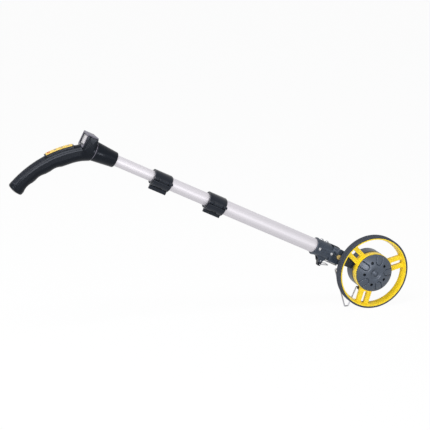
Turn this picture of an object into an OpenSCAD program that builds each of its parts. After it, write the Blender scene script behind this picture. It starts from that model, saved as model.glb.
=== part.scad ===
// Folding measuring wheel: a spoked wheel on a three-section shaft, with a display in the handle.
// Row frame: origin where the tyre meets the ground, X to the right, Y along the axle away from
// the viewer, Z up. Shaft pieces are drawn in the shaft frame: x along the tubes from the axle to
// the handle, y square to the tubes and upward, z along the axle away from the viewer. Wheel
// pieces are drawn in the wheel frame: x right, y up, z along the axle towards the viewer.

/* [Wheel] */
// Ground covered by one turn of the wheel
roll_per_turn = 500; // [480:2:520]
// Width of the tyre and the rim
tyre_w = 18; // [17:0.5:20]
// Thickness of the rubber tyre
tyre_t = 3.8; // [3:0.1:4.4]
// Thickness of the rim at its front edge
rim_t = 2.6; // [2.2:0.1:3.4]
// How much thicker the rim is at its back edge
rim_draft = 3.4; // [2.4:0.1:4.4]
// Diameter of the hub drum and the housing behind it
cover_d = 84; // [80:0.5:88]
// Height of the dome above the edge of the hub cover
dome_h = 9; // [8:0.5:12]
// Overall width of one double spoke
spoke_w = 28; // [24:0.5:32]
// Slot between the two bars of a spoke
spoke_slot = 8.5; // [6.5:0.5:10]
// Depth of the spokes along the axle
spoke_depth = 9; // [7:0.5:9]
// Direction of the first spoke
spoke_angle = 13; // [0:1:30]
// Diameter of the axle
axle_d = 8; // [7:0.1:8.4]
// Outside diameter of the wheel bearings
bearing_d = 22; // [20:0.5:24]
// Width of one wheel bearing
bearing_w = 7; // [6:0.5:7.5]

/* [Housing and fold] */
// Depth of the sensor housing behind the wheel
housing_depth = 23; // [21:0.5:26]
// Wall of the housing, the hub drum and the hub cover
shell_t = 2.5; // [2:0.1:3]
// Distance of the fold pin from the axle
fold_s = 81; // [78:0.5:86]
// Radius of the arm's knuckle at the fold pin
knuckle_r = 13; // [12:0.25:13.5]
// Width of the arm between the cheeks of the fork
arm_w = 22; // [18:0.5:23]
// Thickness of each cheek of the fork
cheek_t = 5.5; // [4:0.25:5.5]
// Diameter of the brass fold pin
fold_pin_d = 7; // [5:0.25:8]
// Angle that the wheel folds through
fold_angle = 120; // [100:1:122]
// Wire diameter of the kickstand
stand_wire = 3; // [2.4:0.1:3.4]

/* [Shaft] */
// Slope of the shaft as it stands on its wheel
shaft_slope = 27.2; // [26:0.1:28.5]
// Distance of the shaft behind the middle of the wheel
shaft_y = 30; // [29.5:0.5:33]
// Distance of the shaft's line below the axle
shaft_drop = 1.6; // [0:0.1:2.4]
// Outside diameter of the upper tube
tube_d = 22.5; // [21:0.25:23]
// How much wider each lower tube is than the one above it
tube_step = 4; // [3.8:0.1:4.6]
// Wall of the tubes
tube_wall = 1.5; // [1.2:0.05:1.6]
// Length of each of the three tubes
tube_l = 283; // [270:1:310]
// Length of the middle tube that shows, as stored
middle_draw = 87; // [83:1:95]
// Length of the upper tube that shows, as stored
upper_draw = 86.5; // [82:0.5:95]
// Length of a tube clamp
clamp_l = 41; // [39:0.5:46]
// Wall of a tube clamp
clamp_wall = 2.5; // [2:0.1:3]

/* [Handle] */
// Length of the tapered collar
collar_l = 48; // [44:0.5:54]
// Largest radius of the collar and the neck of the handle
neck_r = 20; // [19:0.25:21]
// Bend radius of the grip along its crown
grip_bend = 216; // [206:1:226]
// Height of the grip half way along
grip_h = 32.5; // [31:0.5:34]
// Width of the grip
grip_w = 31; // [29:0.5:33]
// Width of the display box
box_w = 40; // [37:0.5:44]
// Height of the display box above the middle of the tube
box_h = 26; // [25:0.5:30]
// Width of the control strip
strip_w = 13; // [11:0.5:15]
// Travel of a key
key_travel = 0.8; // [0.5:0.1:1]

/* [Hidden] */
$fn = 64;

// Colours of the object's materials
slate = "#565d68";
black = "#23272d";
yellow = "#f2d230";
rubber = "#3f444c";
silver = "#d3d0d4";
steel = "#a9abad";
brass = "#b79a58";
grey = "#77767f";

// Clearances: pieces that are fixed together, a running fit, and a free gap
seat = 0.05;
running = 0.06;
gap = 0.3;
// Length by which a cutting shape passes the face that it cuts
over = 1;

// Wheel, along the axle from its middle towards the viewer
wheel_r = roll_per_turn / (2 * PI);
rim_r = wheel_r - tyre_t;
cover_r = cover_d / 2;
lid_r = cover_r - 1.2;
drum_r = cover_r - 0.2;
drum_z = tyre_w / 2 - 1;
edge_h = 3;
dome_r = (pow(lid_r, 2) + pow(dome_h, 2)) / (2 * dome_h);
dome_top = drum_z + edge_h + dome_h;
web_t = 3;
spoke_recess = 8.5;
race_gap = 4;
boss_z = bearing_w + race_gap / 2;
boss_r = bearing_d / 2 + 3;
hub_screw_pcd = 50;
hub_screw_count = 5;
hub_screw_angle = 107;
hub_hole_d = 5.4;
hub_boss_top = dome_top - shell_t - 9;
screw_d = 2.8;
petal_w = 15;
petal_tip = 19;
groove = 1.1;
tread_groove_r = 0.7;

// Housing, with its front edge clear of the turning drum
wheel_gap = 2;
housing_z = -drum_z - wheel_gap;
housing_end = housing_z - housing_depth;
housing_plate = 3;
floor_z = housing_z - 11;
floor_t = 3;
axle_boss_r = 10;
axle_shoulder_r = axle_d / 2 + 2;
axle_shoulder_end = housing_z - 2;
nut_h = 5;
magnet_r = 33;
magnet_w = 5;
magnet_end = housing_z - 2;
board_t = 1.6;
cover_screw_pcd = 2 * (cover_r - shell_t - 4.5);
cover_screw_angles = [60, 180, 300];
screw_head_d = 5.6;
screw_head_h = 1.6;

// Shaft frame stations
housing_back = -housing_end - shaft_y;
lower_d = tube_d + 2 * tube_step;
middle_d = tube_d + tube_step;
socket_wall = 2.4;
socket_r = lower_d / 2 + socket_wall;
socket_l = 57;
socket_end = fold_s + socket_l;
tube_seat = 30;
tube_floor = socket_end - tube_seat;
clamp_seat = 26;
lower_top = tube_floor + tube_l;
lower_clamp_s = lower_top - clamp_seat;
upper_clamp_s = lower_clamp_s + clamp_l + middle_draw;
middle_top = upper_clamp_s + clamp_seat;
collar_s = upper_clamp_s + clamp_l + upper_draw;
seam_s = collar_s + collar_l;
upper_top = seam_s - 4;

// Fork and knuckle
slot_w = arm_w + 2 * gap;
cheek_z = slot_w / 2 + cheek_t;
cheek_r = socket_r - 1;
arm_top = knuckle_r - 2;
arm_root = cover_r + 1;
pin_head_h = 2.4;
rivet_d = 7;
rivet_head_h = 1.6;
rivet_s = [fold_s + 18, fold_s + 48.5];
top_rivet_d = 9;
top_rivet_h = 3.2;
top_rivet_s = [fold_s + 32, fold_s + 45];
cheek_reach = [3, 1.5];

// Kickstand: its eyes lie on one line under the arm, and its foot is a short flat on the ground
stand_z = -(shaft_y - tyre_w / 2 - 8.5);
foot_x = [-54, -46];
function shaft_point(x, z) = [
    -x * cos(shaft_slope) + z * sin(shaft_slope),
    x * sin(shaft_slope) + z * cos(shaft_slope) + shaft_drop
];
foot_z = stand_wire / 2 + 0.2 - wheel_r;
foot_a = shaft_point(foot_x[0], foot_z);
foot_b = shaft_point(foot_x[1], foot_z);
eye_d = stand_wire + 4;
eye_l = 7;
eye_b = [8, -(cover_r + 0.4)];
eye_a = [fold_s - 4, -(knuckle_r + 10.4)];
eye_run = (eye_a - eye_b) / norm(eye_a - eye_b);
stand_bend = 2.2;
hook_end = 1.5;
hook_l = [20, 13];
hook_a = eye_a - hook_l[0] * eye_run;
lug_a = hook_a + hook_end * eye_run;
eye_web = lug_a + eye_l * eye_run;
hook_b = eye_b - hook_l[1] * eye_run;
lug_b = hook_b + hook_end * eye_run;

// Latch under the socket
latch_pivot = [fold_s + 31, -(socket_r + 5.6)];
latch_pin_d = 3;
latch_w = 10.8;
latch_lug_t = 3;
latch_lug_z = latch_w / 2 + gap;
hook_t = 1.5;
hook_w = 8;
hook_y = -(socket_r + 1.5 + hook_t);
hook_tip_s = fold_s - 11;
bail_wire = 1.8;
bail_w = 14;
bail_pin = latch_pivot + [-2.5, -8];
bail_end = latch_pivot + [-21.5, -2.5];

// Handle: the crown and the ridge of the grip bend about one centre and its underside about
// another, so that it grows thicker towards the neck. Angles are measured from the shaft direction.
grip_start = 66;
grip_end = 14.2;
cap_angle = 3.2;
grip_in_angle = 62;
grip_in = [seam_s + 18.4, 7.6];
bend_c = grip_in - grip_bend * [cos(grip_in_angle), sin(grip_in_angle)];
mid_angle = 40;
under_shift = [7.8, -5.2];
under_c = bend_c + under_shift;
under_r = grip_bend - grip_h - under_shift * [cos(mid_angle), sin(mid_angle)];
grip_mid = grip_bend - grip_h / 2;
ridge_r = grip_bend - 6.5;
butt_flare = 2.3;
butt_r = 34;
crown_r = 17.5;
pad_end = 38.5;
rib_pitch = 2.2;
rib_depth = 0.9;
finger_angles = [24.5, 33.6, 44.5];
finger_r = 20;
finger_depth = 3;
box_start = seam_s + 5;
box_end = seam_s + 27.5;
box_round = 7;
bezel_t = 4.5;
bezel_low = -4;
hood_t = 2.5;
window_w = 28;
window_low = 5;
window_h = box_h - 9;
strip_angles = [39.9, 54.4];
strip_t = 1.6;
plinth_h = 1.6;
plinth_edge = 2.2;
plinth_r = grip_bend + plinth_h;
key_angles = [41.6, 45.2, 48.8, 52.4];
key_d = [6, 4.6, 4.6, 4.6];
key_rise = 0.8;
key_flange = 1.2;
cell_d = 10.4;
cell_l = 44.4;
cell_angle = 24.3;
cell_bay = cell_d + 2 * gap;
contact_room = 8;
shell_screws = [
    [bend_c + (grip_mid + 2) * [cos(37), sin(37)], grip_w / 2],
    [bend_c + (grip_mid - 5) * [cos(56), sin(56)], grip_w / 2],
    [[box_start + 4.5, box_h - 5.5], box_w / 2]
];

module shaft_frame() {
    translate([0, shaft_y, wheel_r])
        rotate([0, shaft_slope, 0])
            rotate([90, 0, 180])
                translate([0, -shaft_drop, 0])
                    children();
}

module wheel_frame() {
    translate([0, 0, wheel_r])
        rotate([90, 0, 0])
            children();
}

// Turns a shape that is drawn along z so that it runs along the shaft from station s
module along(s) {
    translate([s, 0, 0])
        rotate([0, 90, 0])
            children();
}

module ring(outer, inner, low, high) {
    translate([0, 0, low])
        difference() {
            cylinder(r = outer, h = high - low);
            translate([0, 0, -over])
                cylinder(r = inner, h = high - low + 2 * over);
        }
}

// Straight round rod between two points of the plane z = 0
module rod(from, to, d) {
    run = to - from;
    translate([from.x, from.y, 0])
        rotate([0, 0, atan2(run.y, run.x)])
            rotate([0, 90, 0])
                cylinder(d = d, h = norm(run));
}

function unit(v) = v / norm(v);

// Angle that a line of points turns through at point i, positive to the left
function turn_at(points, i) =
    let (a = unit(points[i] - points[i - 1]), b = unit(points[i + 1] - points[i]))
    atan2(a.x * b.y - a.y * b.x, a * b);

// Length that a bend of radius r at point i takes from each of the two runs beside it
function bend_cut(points, i, r) = r * tan(abs(turn_at(points, i)) / 2);

// Wire in the plane z = 0 along a line of points, with a round bend at each corner. The bends
// are a hair thicker than the runs, whose ends are seated in them.
module wire(points, d, r) {
    bend_extra = 0.1;
    bend_seat = 0.3;
    last = len(points) - 1;
    for (i = [0 : last - 1]) {
        run = unit(points[i + 1] - points[i]);
        from = i == 0 ? 0 : bend_cut(points, i, r) - bend_seat;
        to = i + 1 == last ? 0 : bend_cut(points, i + 1, r) - bend_seat;
        rod(points[i] + from * run, points[i + 1] - to * run, d);
    }
    for (i = [1 : last - 1]) {
        run = unit(points[i] - points[i - 1]);
        turn = turn_at(points, i);
        side = sign(turn);
        centre = points[i] - bend_cut(points, i, r) * run + side * r * [-run.y, run.x];
        translate([centre.x, centre.y, 0])
            rotate([0, 0, atan2(run.y, run.x) - side * 90 + min(turn, 0)])
                rotate_extrude(angle = abs(turn))
                    translate([r, 0])
                        circle(d = d + bend_extra);
    }
}

// Plate with its outline in the plane z = 0, between two heights
module plate(low, high) {
    translate([0, 0, low])
        linear_extrude(high - low)
            children();
}

module around(count, first) {
    for (i = [0 : count - 1])
        rotate([0, 0, first + i * 360 / count])
            children();
}

// Arc of a section about a centre of bend of the grip: section x is the distance from that centre
module bend(from, to, c = bend_c) {
    translate([c.x, c.y, 0])
        rotate([0, 0, from])
            rotate_extrude(angle = to - from, $fn = 128)
                children();
}

// A shape drawn along x, placed at an angle of the bend so that x points away from its centre
module on_bend(r, angle, c = bend_c) {
    translate([c.x, c.y, 0])
        rotate([0, 0, angle])
            translate([r, 0, 0])
                children();
}

// Wheel

module tyre() {
    color(rubber)
        wheel_frame()
            rotate_extrude($fn = 128)
                difference() {
                    translate([rim_r, -tyre_w / 2])
                        square([tyre_t, tyre_w]);
                    for (i = [-1 : 1])
                        translate([wheel_r, i * tyre_w / 4])
                            circle(r = tread_groove_r, $fn = 24);
                }
}

module double_spoke() {
    bar = (spoke_w - spoke_slot) / 2;
    root = drum_r - shell_t;
    reach = rim_r - rim_t - 0.6;
    spoke_z = tyre_w / 2 - spoke_recess - spoke_depth;
    for (side = [-1, 1])
        translate([root, side * (spoke_slot + bar) / 2 - bar / 2, spoke_z])
            cube([reach - root, bar, spoke_depth]);
    translate([root, -spoke_w / 2, spoke_z])
        cube([shell_t + 4, spoke_w, spoke_depth]);
}

module wheel() {
    color(yellow)
        wheel_frame()
            difference() {
                union() {
                    rotate_extrude($fn = 128)
                        polygon([
                            [rim_r, -tyre_w / 2],
                            [rim_r, tyre_w / 2],
                            [rim_r - rim_t, tyre_w / 2],
                            [rim_r - rim_t - rim_draft, -tyre_w / 2]
                        ]);
                    ring(drum_r, drum_r - shell_t, -drum_z, drum_z);
                    ring(drum_r, boss_r - 1, -drum_z, web_t - drum_z);
                    ring(boss_r, bearing_d / 2 - 2, -boss_z, boss_z);
                    around(hub_screw_count, hub_screw_angle)
                        translate([hub_screw_pcd / 2, 0, -drum_z])
                            cylinder(r = 4, h = drum_z + hub_boss_top);
                    around(3, spoke_angle)
                        difference() {
                            double_spoke();
                            translate([0, 0, -tyre_w])
                                cylinder(r = drum_r - shell_t / 2, h = 2 * tyre_w);
                        }
                }
                for (low = [race_gap / 2, -boss_z - over])
                    translate([0, 0, low])
                        cylinder(d = bearing_d + 2 * seat, h = bearing_w + over);
                around(hub_screw_count, hub_screw_angle)
                    translate([hub_screw_pcd / 2, 0, web_t - drum_z])
                        cylinder(d = screw_d, h = dome_top + drum_z);
            }
}

// Ball that the dome is part of, with its poles away from the dome
module dome_ball(r) {
    translate([0, 0, dome_top - dome_r])
        rotate([90, 0, 0])
            sphere(r = r, $fn = 128);
}

module cover_petal() {
    run = lid_r - petal_tip;
    difference() {
        union() {
            translate([petal_tip + petal_w / 2, 0])
                circle(d = petal_w);
            translate([petal_tip + petal_w / 2, -petal_w / 2])
                square([run, petal_w]);
        }
        translate([petal_tip + petal_w / 2, 0])
            circle(d = petal_w - 2 * groove);
        translate([petal_tip + petal_w / 2, groove - petal_w / 2])
            square([run + over, petal_w - 2 * groove]);
    }
}

module hub_cover() {
    color(slate)
        wheel_frame()
            difference() {
                union() {
                    intersection() {
                        translate([0, 0, drum_z])
                            cylinder(r = lid_r, h = dome_top);
                        difference() {
                            dome_ball(dome_r);
                            dome_ball(dome_r - shell_t);
                        }
                    }
                    ring(lid_r, lid_r - shell_t, drum_z, drum_z + edge_h - 1);
                    ring(drum_r - shell_t - seat, drum_r - 2 * shell_t, drum_z - 3, drum_z + edge_h);
                    intersection() {
                        around(hub_screw_count, hub_screw_angle)
                            translate([hub_screw_pcd / 2, 0, hub_boss_top])
                                cylinder(r = 4, h = 8);
                        dome_ball(dome_r - shell_t / 2);
                    }
                }
                around(hub_screw_count, hub_screw_angle)
                    translate([hub_screw_pcd / 2, 0, hub_boss_top + 1.8])
                        cylinder(d = hub_hole_d, h = dome_h);
                around(hub_screw_count, hub_screw_angle)
                    translate([hub_screw_pcd / 2, 0, hub_boss_top - over])
                        cylinder(d = screw_d + 2 * seat, h = dome_h);
                difference() {
                    around(hub_screw_count, hub_screw_angle + 36)
                        plate(drum_z + 1, dome_top + over)
                            cover_petal();
                    dome_ball(dome_r - groove);
                }
                rotate_extrude()
                    translate([7.5, dome_top])
                        circle(r = 1.6);
            }
}

module hub_screws() {
    color(steel)
        wheel_frame()
            around(hub_screw_count, hub_screw_angle)
                translate([hub_screw_pcd / 2, 0, 0]) {
                    translate([0, 0, hub_boss_top - 8])
                        cylinder(d = screw_d - 2 * seat, h = 10);
                    translate([0, 0, hub_boss_top + 1.8])
                        cylinder(d = hub_hole_d - 2 * seat, h = 1.5);
                }
}

module bearing(low) {
    race = (bearing_d - axle_d) / 2;
    color(steel)
        wheel_frame()
            translate([0, 0, low])
                rotate_extrude()
                    difference() {
                        translate([axle_d / 2 + running, 0])
                            square([race - running, bearing_w]);
                        for (face = [-0.5, bearing_w - 0.5])
                            translate([axle_d / 2 + race * 0.3, face])
                                square([race * 0.4, 1]);
                    }
}

module front_bearing() {
    bearing(race_gap / 2);
}

module rear_bearing() {
    bearing(-boss_z);
}

module bearing_spacer() {
    color(steel)
        wheel_frame()
            ring(axle_d / 2 + 2, axle_d / 2 + running, -race_gap / 2, race_gap / 2);
}

module magnet_ring() {
    color(black)
        wheel_frame()
            ring(magnet_r, magnet_r - magnet_w, magnet_end, -drum_z);
}

// Housing and arm

module arm_block() {
    difference() {
        union() {
            plate(-arm_w / 2, arm_w / 2) {
                translate([fold_s, 0])
                    circle(r = knuckle_r);
                translate([arm_root, -knuckle_r])
                    square([fold_s - arm_root, knuckle_r + arm_top]);
            }
            plate(-arm_w / 2, housing_back)
                translate([cover_r - shell_t, -knuckle_r])
                    square([2 * shell_t, knuckle_r + arm_top]);
            plate(stand_z - eye_d / 2, stand_z + eye_d)
                translate([eye_web.x - eye_l, eye_web.y + 0.5])
                    square([eye_l, 0.5 - eye_web.y - knuckle_r]);
        }
        plate(-arm_w, arm_w)
            translate([fold_s, 0])
                circle(d = fold_pin_d + 2 * running);
        plate(-hook_w / 2 - 1, hook_w / 2 + 1)
            translate([hook_tip_s - 1, -knuckle_r - over])
                square([hook_t + 2, 2 + over]);
    }
}

module stand_eyes() {
    for (start = [lug_a, lug_b])
        translate([0, 0, stand_z])
            rod(start, start + eye_l * eye_run, eye_d);
    web_b = lug_b + eye_l / 2 * eye_run;
    plate(stand_z - eye_d / 2, stand_z + eye_d / 2)
        translate([web_b.x - 2.7, web_b.y])
            square([5.4, -web_b.y - cover_r + shaft_drop + shell_t - 0.4]);
}

module hub_housing() {
    color(black)
        difference() {
            union() {
                wheel_frame() {
                    ring(cover_r, cover_r - shell_t, housing_end, housing_z);
                    ring(cover_r - shell_t / 2, axle_d, floor_z - floor_t, floor_z);
                    ring(axle_boss_r, axle_d / 2 + seat, floor_z - 9, axle_shoulder_end);
                    around(3, cover_screw_angles[0])
                        translate([cover_screw_pcd / 2, 0, housing_end])
                            cylinder(r = 4, h = floor_z - housing_end);
                }
                shaft_frame() {
                    arm_block();
                    stand_eyes();
                }
            }
            shaft_frame()
                translate([0, 0, stand_z])
                    rod(hook_b - 30 * eye_run, hook_a + 30 * eye_run, stand_wire + 2 * running);
            wheel_frame()
                around(3, cover_screw_angles[0])
                    translate([cover_screw_pcd / 2, 0, housing_end - over])
                        cylinder(d = screw_d, h = 9);
        }
}

module housing_cover() {
    color(black)
        wheel_frame()
            difference() {
                translate([0, 0, housing_end - housing_plate])
                    cylinder(r = cover_r, h = housing_plate);
                around(3, cover_screw_angles[0])
                    translate([cover_screw_pcd / 2, 0, housing_end - housing_plate - over]) {
                        cylinder(d = screw_d + 2 * seat, h = housing_plate + 2 * over);
                        cylinder(d = screw_head_d + 2 * seat, h = screw_head_h + over);
                    }
            }
}

module housing_screws() {
    color(steel)
        wheel_frame()
            around(3, cover_screw_angles[0])
                translate([cover_screw_pcd / 2, 0, housing_end - housing_plate]) {
                    cylinder(d = screw_head_d, h = screw_head_h);
                    cylinder(d = screw_d - 2 * seat, h = housing_plate + 7);
                }
}

module axle() {
    color(steel)
        wheel_frame() {
            translate([0, 0, floor_z - 8])
                cylinder(d = axle_d, h = boss_z + nut_h + 1 - floor_z + 8);
            translate([0, 0, axle_shoulder_end])
                cylinder(r = axle_shoulder_r, h = -boss_z - gap - axle_shoulder_end);
        }
}

module axle_nut() {
    color(steel)
        wheel_frame()
            translate([0, 0, boss_z + gap])
                difference() {
                    cylinder(d = axle_d * 1.87, h = nut_h, $fn = 6);
                    translate([0, 0, -over])
                        cylinder(d = axle_d + 2 * seat, h = nut_h + 2 * over);
                }
}

module sensor_board() {
    color("#2f6b45")
        wheel_frame()
            rotate([0, 0, -30])
                translate([0, -11, floor_z]) {
                    translate([axle_boss_r + 4, 0, 0])
                        cube([magnet_r - axle_boss_r - 8, 22, board_t]);
                    translate([magnet_r - magnet_w - 3, 6, 0])
                        cube([5, 10, magnet_end - 1 - floor_z]);
                }
}

module kickstand() {
    color(steel)
        shaft_frame()
            translate([0, 0, stand_z])
                wire([hook_a, eye_a, foot_a, foot_b, eye_b, hook_b], stand_wire, stand_bend);
}

// Fold socket and latch

module fork_slot() {
    turn = 180 - fold_angle;
    reach = 3 * knuckle_r;
    translate([fold_s, 0]) {
        circle(r = knuckle_r + 2 * gap);
        rotate(turn)
            translate([0, -arm_top - 2 * gap])
                square([reach, 2 * reach]);
        translate([-reach, -reach])
            square([reach + knuckle_r + 2 * gap, reach]);
        translate([-reach, 0])
            square([reach, reach]);
    }
}

module latch_lug() {
    translate(latch_pivot)
        circle(r = latch_pin_d / 2 + 3);
    polygon([
        latch_pivot + [-11.5, socket_wall + 6],
        latch_pivot + [-4.2, -1.5],
        latch_pivot + [4.2, -1.5],
        latch_pivot + [12, socket_wall + 6]
    ]);
}

module fold_socket() {
    flare = 1.2;
    color(black)
        shaft_frame()
            difference() {
                union() {
                    along(fold_s + knuckle_r)
                        cylinder(r = socket_r, h = socket_end - fold_s - knuckle_r);
                    along(socket_end - 4)
                        cylinder(r = socket_r + flare, h = 4);
                    plate(-cheek_z, cheek_z) {
                        translate([fold_s - cheek_reach.x, cheek_reach.y])
                            circle(r = cheek_r - cheek_reach.y);
                        translate([fold_s, 0])
                            circle(r = cheek_r);
                        translate([fold_s, -cheek_r])
                            square([knuckle_r + 6, 2 * cheek_r]);
                    }
                    for (low = [-latch_lug_z - latch_lug_t, latch_lug_z])
                        plate(low, low + latch_lug_t)
                            latch_lug();
                }
                plate(-slot_w / 2, slot_w / 2)
                    fork_slot();
                plate(-cheek_z - over, cheek_z + over)
                    translate([fold_s, 0])
                        circle(d = fold_pin_d + 2 * seat);
                plate(-cheek_z - over, cheek_z + over)
                    translate(latch_pivot)
                        circle(d = latch_pin_d + 2 * seat);
                along(tube_floor)
                    cylinder(d = lower_d + 2 * seat, h = socket_end);
                along(fold_s)
                    cylinder(d = lower_d - 2 * tube_wall - 8, h = tube_floor);
                rivet_holes();
            }
}

module rivet_holes() {
    for (s = rivet_s)
        translate([s, 0, -socket_r - over])
            cylinder(d = rivet_d / 2 + 2 * seat, h = socket_r);
    for (s = top_rivet_s)
        translate([s, 0, 0])
            rotate([-90, 0, 0])
                cylinder(d = rivet_d / 2 + 2 * seat, h = socket_r + over);
}

// Domed rivet whose shank runs inward through the socket and the tube
module rivet(head_d, head_h) {
    shank = socket_wall + tube_wall + 2;
    head_r = (pow(head_d / 2, 2) + pow(head_h, 2)) / (2 * head_h);
    translate([0, 0, -shank])
        cylinder(d = rivet_d / 2, h = shank + 0.5);
    intersection() {
        translate([0, 0, head_h - head_r])
            rotate([90, 0, 0])
                sphere(r = head_r);
        cylinder(d = head_d, h = 2 * head_h);
    }
}

module socket_rivets() {
    color(silver)
        shaft_frame() {
            for (s = rivet_s)
                translate([s, 0, -socket_r])
                    rotate([180, 0, 0])
                        rivet(rivet_d, rivet_head_h);
            for (s = top_rivet_s)
                translate([s, socket_r, 0])
                    rotate([-90, 0, 0])
                        rivet(top_rivet_d, top_rivet_h);
        }
}

module fold_pin() {
    color(brass)
        shaft_frame()
            translate([fold_s, 0, 0]) {
                translate([0, 0, -cheek_z])
                    cylinder(d = fold_pin_d, h = 2 * cheek_z + 1);
                translate([0, 0, -cheek_z - pin_head_h])
                    cylinder(d = fold_pin_d + 4, h = pin_head_h, $fn = 6);
                translate([0, 0, cheek_z])
                    cylinder(d = fold_pin_d + 3, h = pin_head_h);
            }
}

module latch_pin() {
    reach = latch_lug_z + latch_lug_t + 0.6;
    color(steel)
        shaft_frame()
            plate(-reach, reach)
                translate(latch_pivot)
                    circle(d = latch_pin_d);
}

module latch_lever() {
    color(black)
        shaft_frame()
            difference() {
                plate(-latch_w / 2, latch_w / 2) {
                    translate(latch_pivot)
                        circle(r = latch_pin_d / 2 + 2.4);
                    polygon([
                        latch_pivot + [-7.5, hook_y - latch_pivot.y],
                        latch_pivot + [-6.5, -11],
                        latch_pivot + [-1, -12],
                        latch_pivot + [3.5, -1],
                        latch_pivot + [3, hook_y - latch_pivot.y]
                    ]);
                }
                plate(-latch_w, latch_w)
                    translate(latch_pivot)
                        circle(d = latch_pin_d + 2 * running);
                plate(-latch_w, latch_w)
                    translate(bail_pin)
                        circle(d = bail_wire + 2 * seat);
                plate(-latch_w, latch_w)
                    translate([latch_pivot.x - socket_r, hook_y])
                        square([2 * socket_r, socket_r]);
            }
}

module latch_hook() {
    color(steel)
        shaft_frame()
            plate(-hook_w / 2, hook_w / 2) {
                translate([hook_tip_s, hook_y])
                    square([latch_pivot.x + 2 - hook_tip_s, hook_t]);
                translate([hook_tip_s, hook_y])
                    square([hook_t, -knuckle_r - gap - hook_y]);
            }
}

module latch_bail() {
    run = bail_end - bail_pin;
    half = bail_w / 2;
    reach = norm(run);
    color(steel)
        shaft_frame()
            translate([bail_pin.x, bail_pin.y, 0])
                rotate([0, 0, atan2(run.y, run.x)])
                    rotate([90, 0, 0])
                        wire([[0, 0], [0, half], [reach, half], [reach, -half], [0, -half], [0, 0]],
                            bail_wire, bail_wire * 0.7);
}

// Tubes, bushes and clamps

module tube(d, low, high) {
    along(low)
        ring(d / 2, d / 2 - tube_wall, 0, high - low);
}

// Guide bush in the lower end of a tube, which runs in the next tube
module bush(d, low) {
    outer = d + tube_step - 2 * tube_wall;
    collar = 10;
    color(black)
        shaft_frame() {
            along(low - collar)
                ring(outer / 2 - running, d / 2 - tube_wall - 3, 0, collar);
            along(low - over)
                ring(d / 2 - tube_wall - seat, d / 2 - tube_wall - 3, 0, 14);
        }
}

module lower_tube() {
    color(silver)
        shaft_frame()
            difference() {
                tube(lower_d, tube_floor, lower_top);
                rivet_holes();
            }
}

module middle_tube() {
    color(silver)
        shaft_frame()
            tube(middle_d, middle_top - tube_l, middle_top);
}

module upper_tube() {
    color(silver)
        shaft_frame()
            difference() {
                tube(tube_d, upper_top - tube_l, upper_top);
                collar_screw_hole();
            }
}

module middle_bush() {
    bush(middle_d, middle_top - tube_l);
}

module upper_bush() {
    bush(tube_d, upper_top - tube_l);
}

// Clamp: d is the tube that it is fixed to. Across the shaft, section x points to the viewer.
clamp_bevel = 3;
barrel_r = 3;
barrel_y = 1;
barrel_off = 2.2;
knuckle_l = 9;
lever_gap = 0.5;
lever_t = 3;
lever_drop = 25;
lever_tab = 4;
clamp_pin_d = 2.5;

function clamp_r(d) = d / 2 + clamp_wall;

module clamp_body(d, s) {
    r = clamp_r(d);
    color(black)
        shaft_frame()
            difference() {
                union() {
                    along(s)
                        rotate_extrude()
                            polygon([
                                [0, 0],
                                [r - clamp_bevel / 2, 0],
                                [r, clamp_bevel],
                                [r, clamp_l],
                                [0, clamp_l]
                            ]);
                    for (low = [s, s + clamp_l - knuckle_l])
                        along(low)
                            linear_extrude(knuckle_l) {
                                translate([r + barrel_off, barrel_y])
                                    circle(r = barrel_r);
                                translate([r - clamp_wall, barrel_y - barrel_r / 2])
                                    square([barrel_off + clamp_wall, 1.5 * barrel_r]);
                            }
                }
                along(s - over)
                    cylinder(d = d + 2 * seat, h = clamp_seat + over);
                along(s)
                    cylinder(d = d - tube_step + 2 * running, h = clamp_l + over);
                along(s + knuckle_l)
                    linear_extrude(clamp_l - 2 * knuckle_l)
                        translate([r + barrel_off, barrel_y])
                            circle(r = barrel_r + lever_gap);
                along(s - over)
                    linear_extrude(clamp_l + 2 * over)
                        translate([r + barrel_off, barrel_y])
                            circle(d = clamp_pin_d + 2 * seat);
                along(s + clamp_seat + 3)
                    linear_extrude(clamp_l)
                        translate([-1, -2 * r])
                            square([2, 2 * r]);
            }
}

module clamp_pin(d, s) {
    color(steel)
        shaft_frame()
            along(s)
                translate([0, 0, 0.5])
                    linear_extrude(clamp_l - 1)
                        translate([clamp_r(d) + barrel_off, barrel_y])
                            circle(d = clamp_pin_d);
}

module lever_section(r) {
    difference() {
        intersection() {
            circle(r = r + lever_gap + lever_t);
            polygon([[0, 0], [3 * r, -0.16 * r], [3 * r, -3 * r], [0.3 * r, -3 * r]]);
        }
        circle(r = r + lever_gap);
    }
    translate([0.18 * r, -lever_drop])
        square([lever_tab, lever_drop - r - lever_gap - 1]);
}

module clamp_lever(d, s) {
    r = clamp_r(d);
    mid = clamp_l - 2 * knuckle_l - 2 * lever_gap;
    color(black)
        shaft_frame()
            difference() {
                union() {
                    along(s + 1)
                        linear_extrude(clamp_l - 2)
                            lever_section(r);
                    along(s + knuckle_l + lever_gap)
                        linear_extrude(mid) {
                            translate([r + barrel_off, barrel_y])
                                circle(r = barrel_r);
                            translate([r + lever_gap, -barrel_r])
                                square([lever_t, barrel_r + barrel_y]);
                        }
                }
                along(s)
                    linear_extrude(clamp_l)
                        translate([r + barrel_off, barrel_y])
                            circle(d = clamp_pin_d + 2 * running);
                for (low = [s, s + clamp_l - knuckle_l - lever_gap])
                    along(low)
                        linear_extrude(knuckle_l + lever_gap)
                            translate([r + barrel_off, barrel_y])
                                circle(r = barrel_r + lever_gap);
                intersection() {
                    translate([s + clamp_l / 2, -lever_drop, -3 * r])
                        cylinder(r = clamp_l / 4, h = 3 * r - 0.18 * r - lever_tab - 1);
                    along(s)
                        ring(3 * r, r + lever_gap + lever_t / 2, 0, clamp_l);
                }
            }
}

module lower_clamp() {
    clamp_body(lower_d, lower_clamp_s);
}

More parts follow.
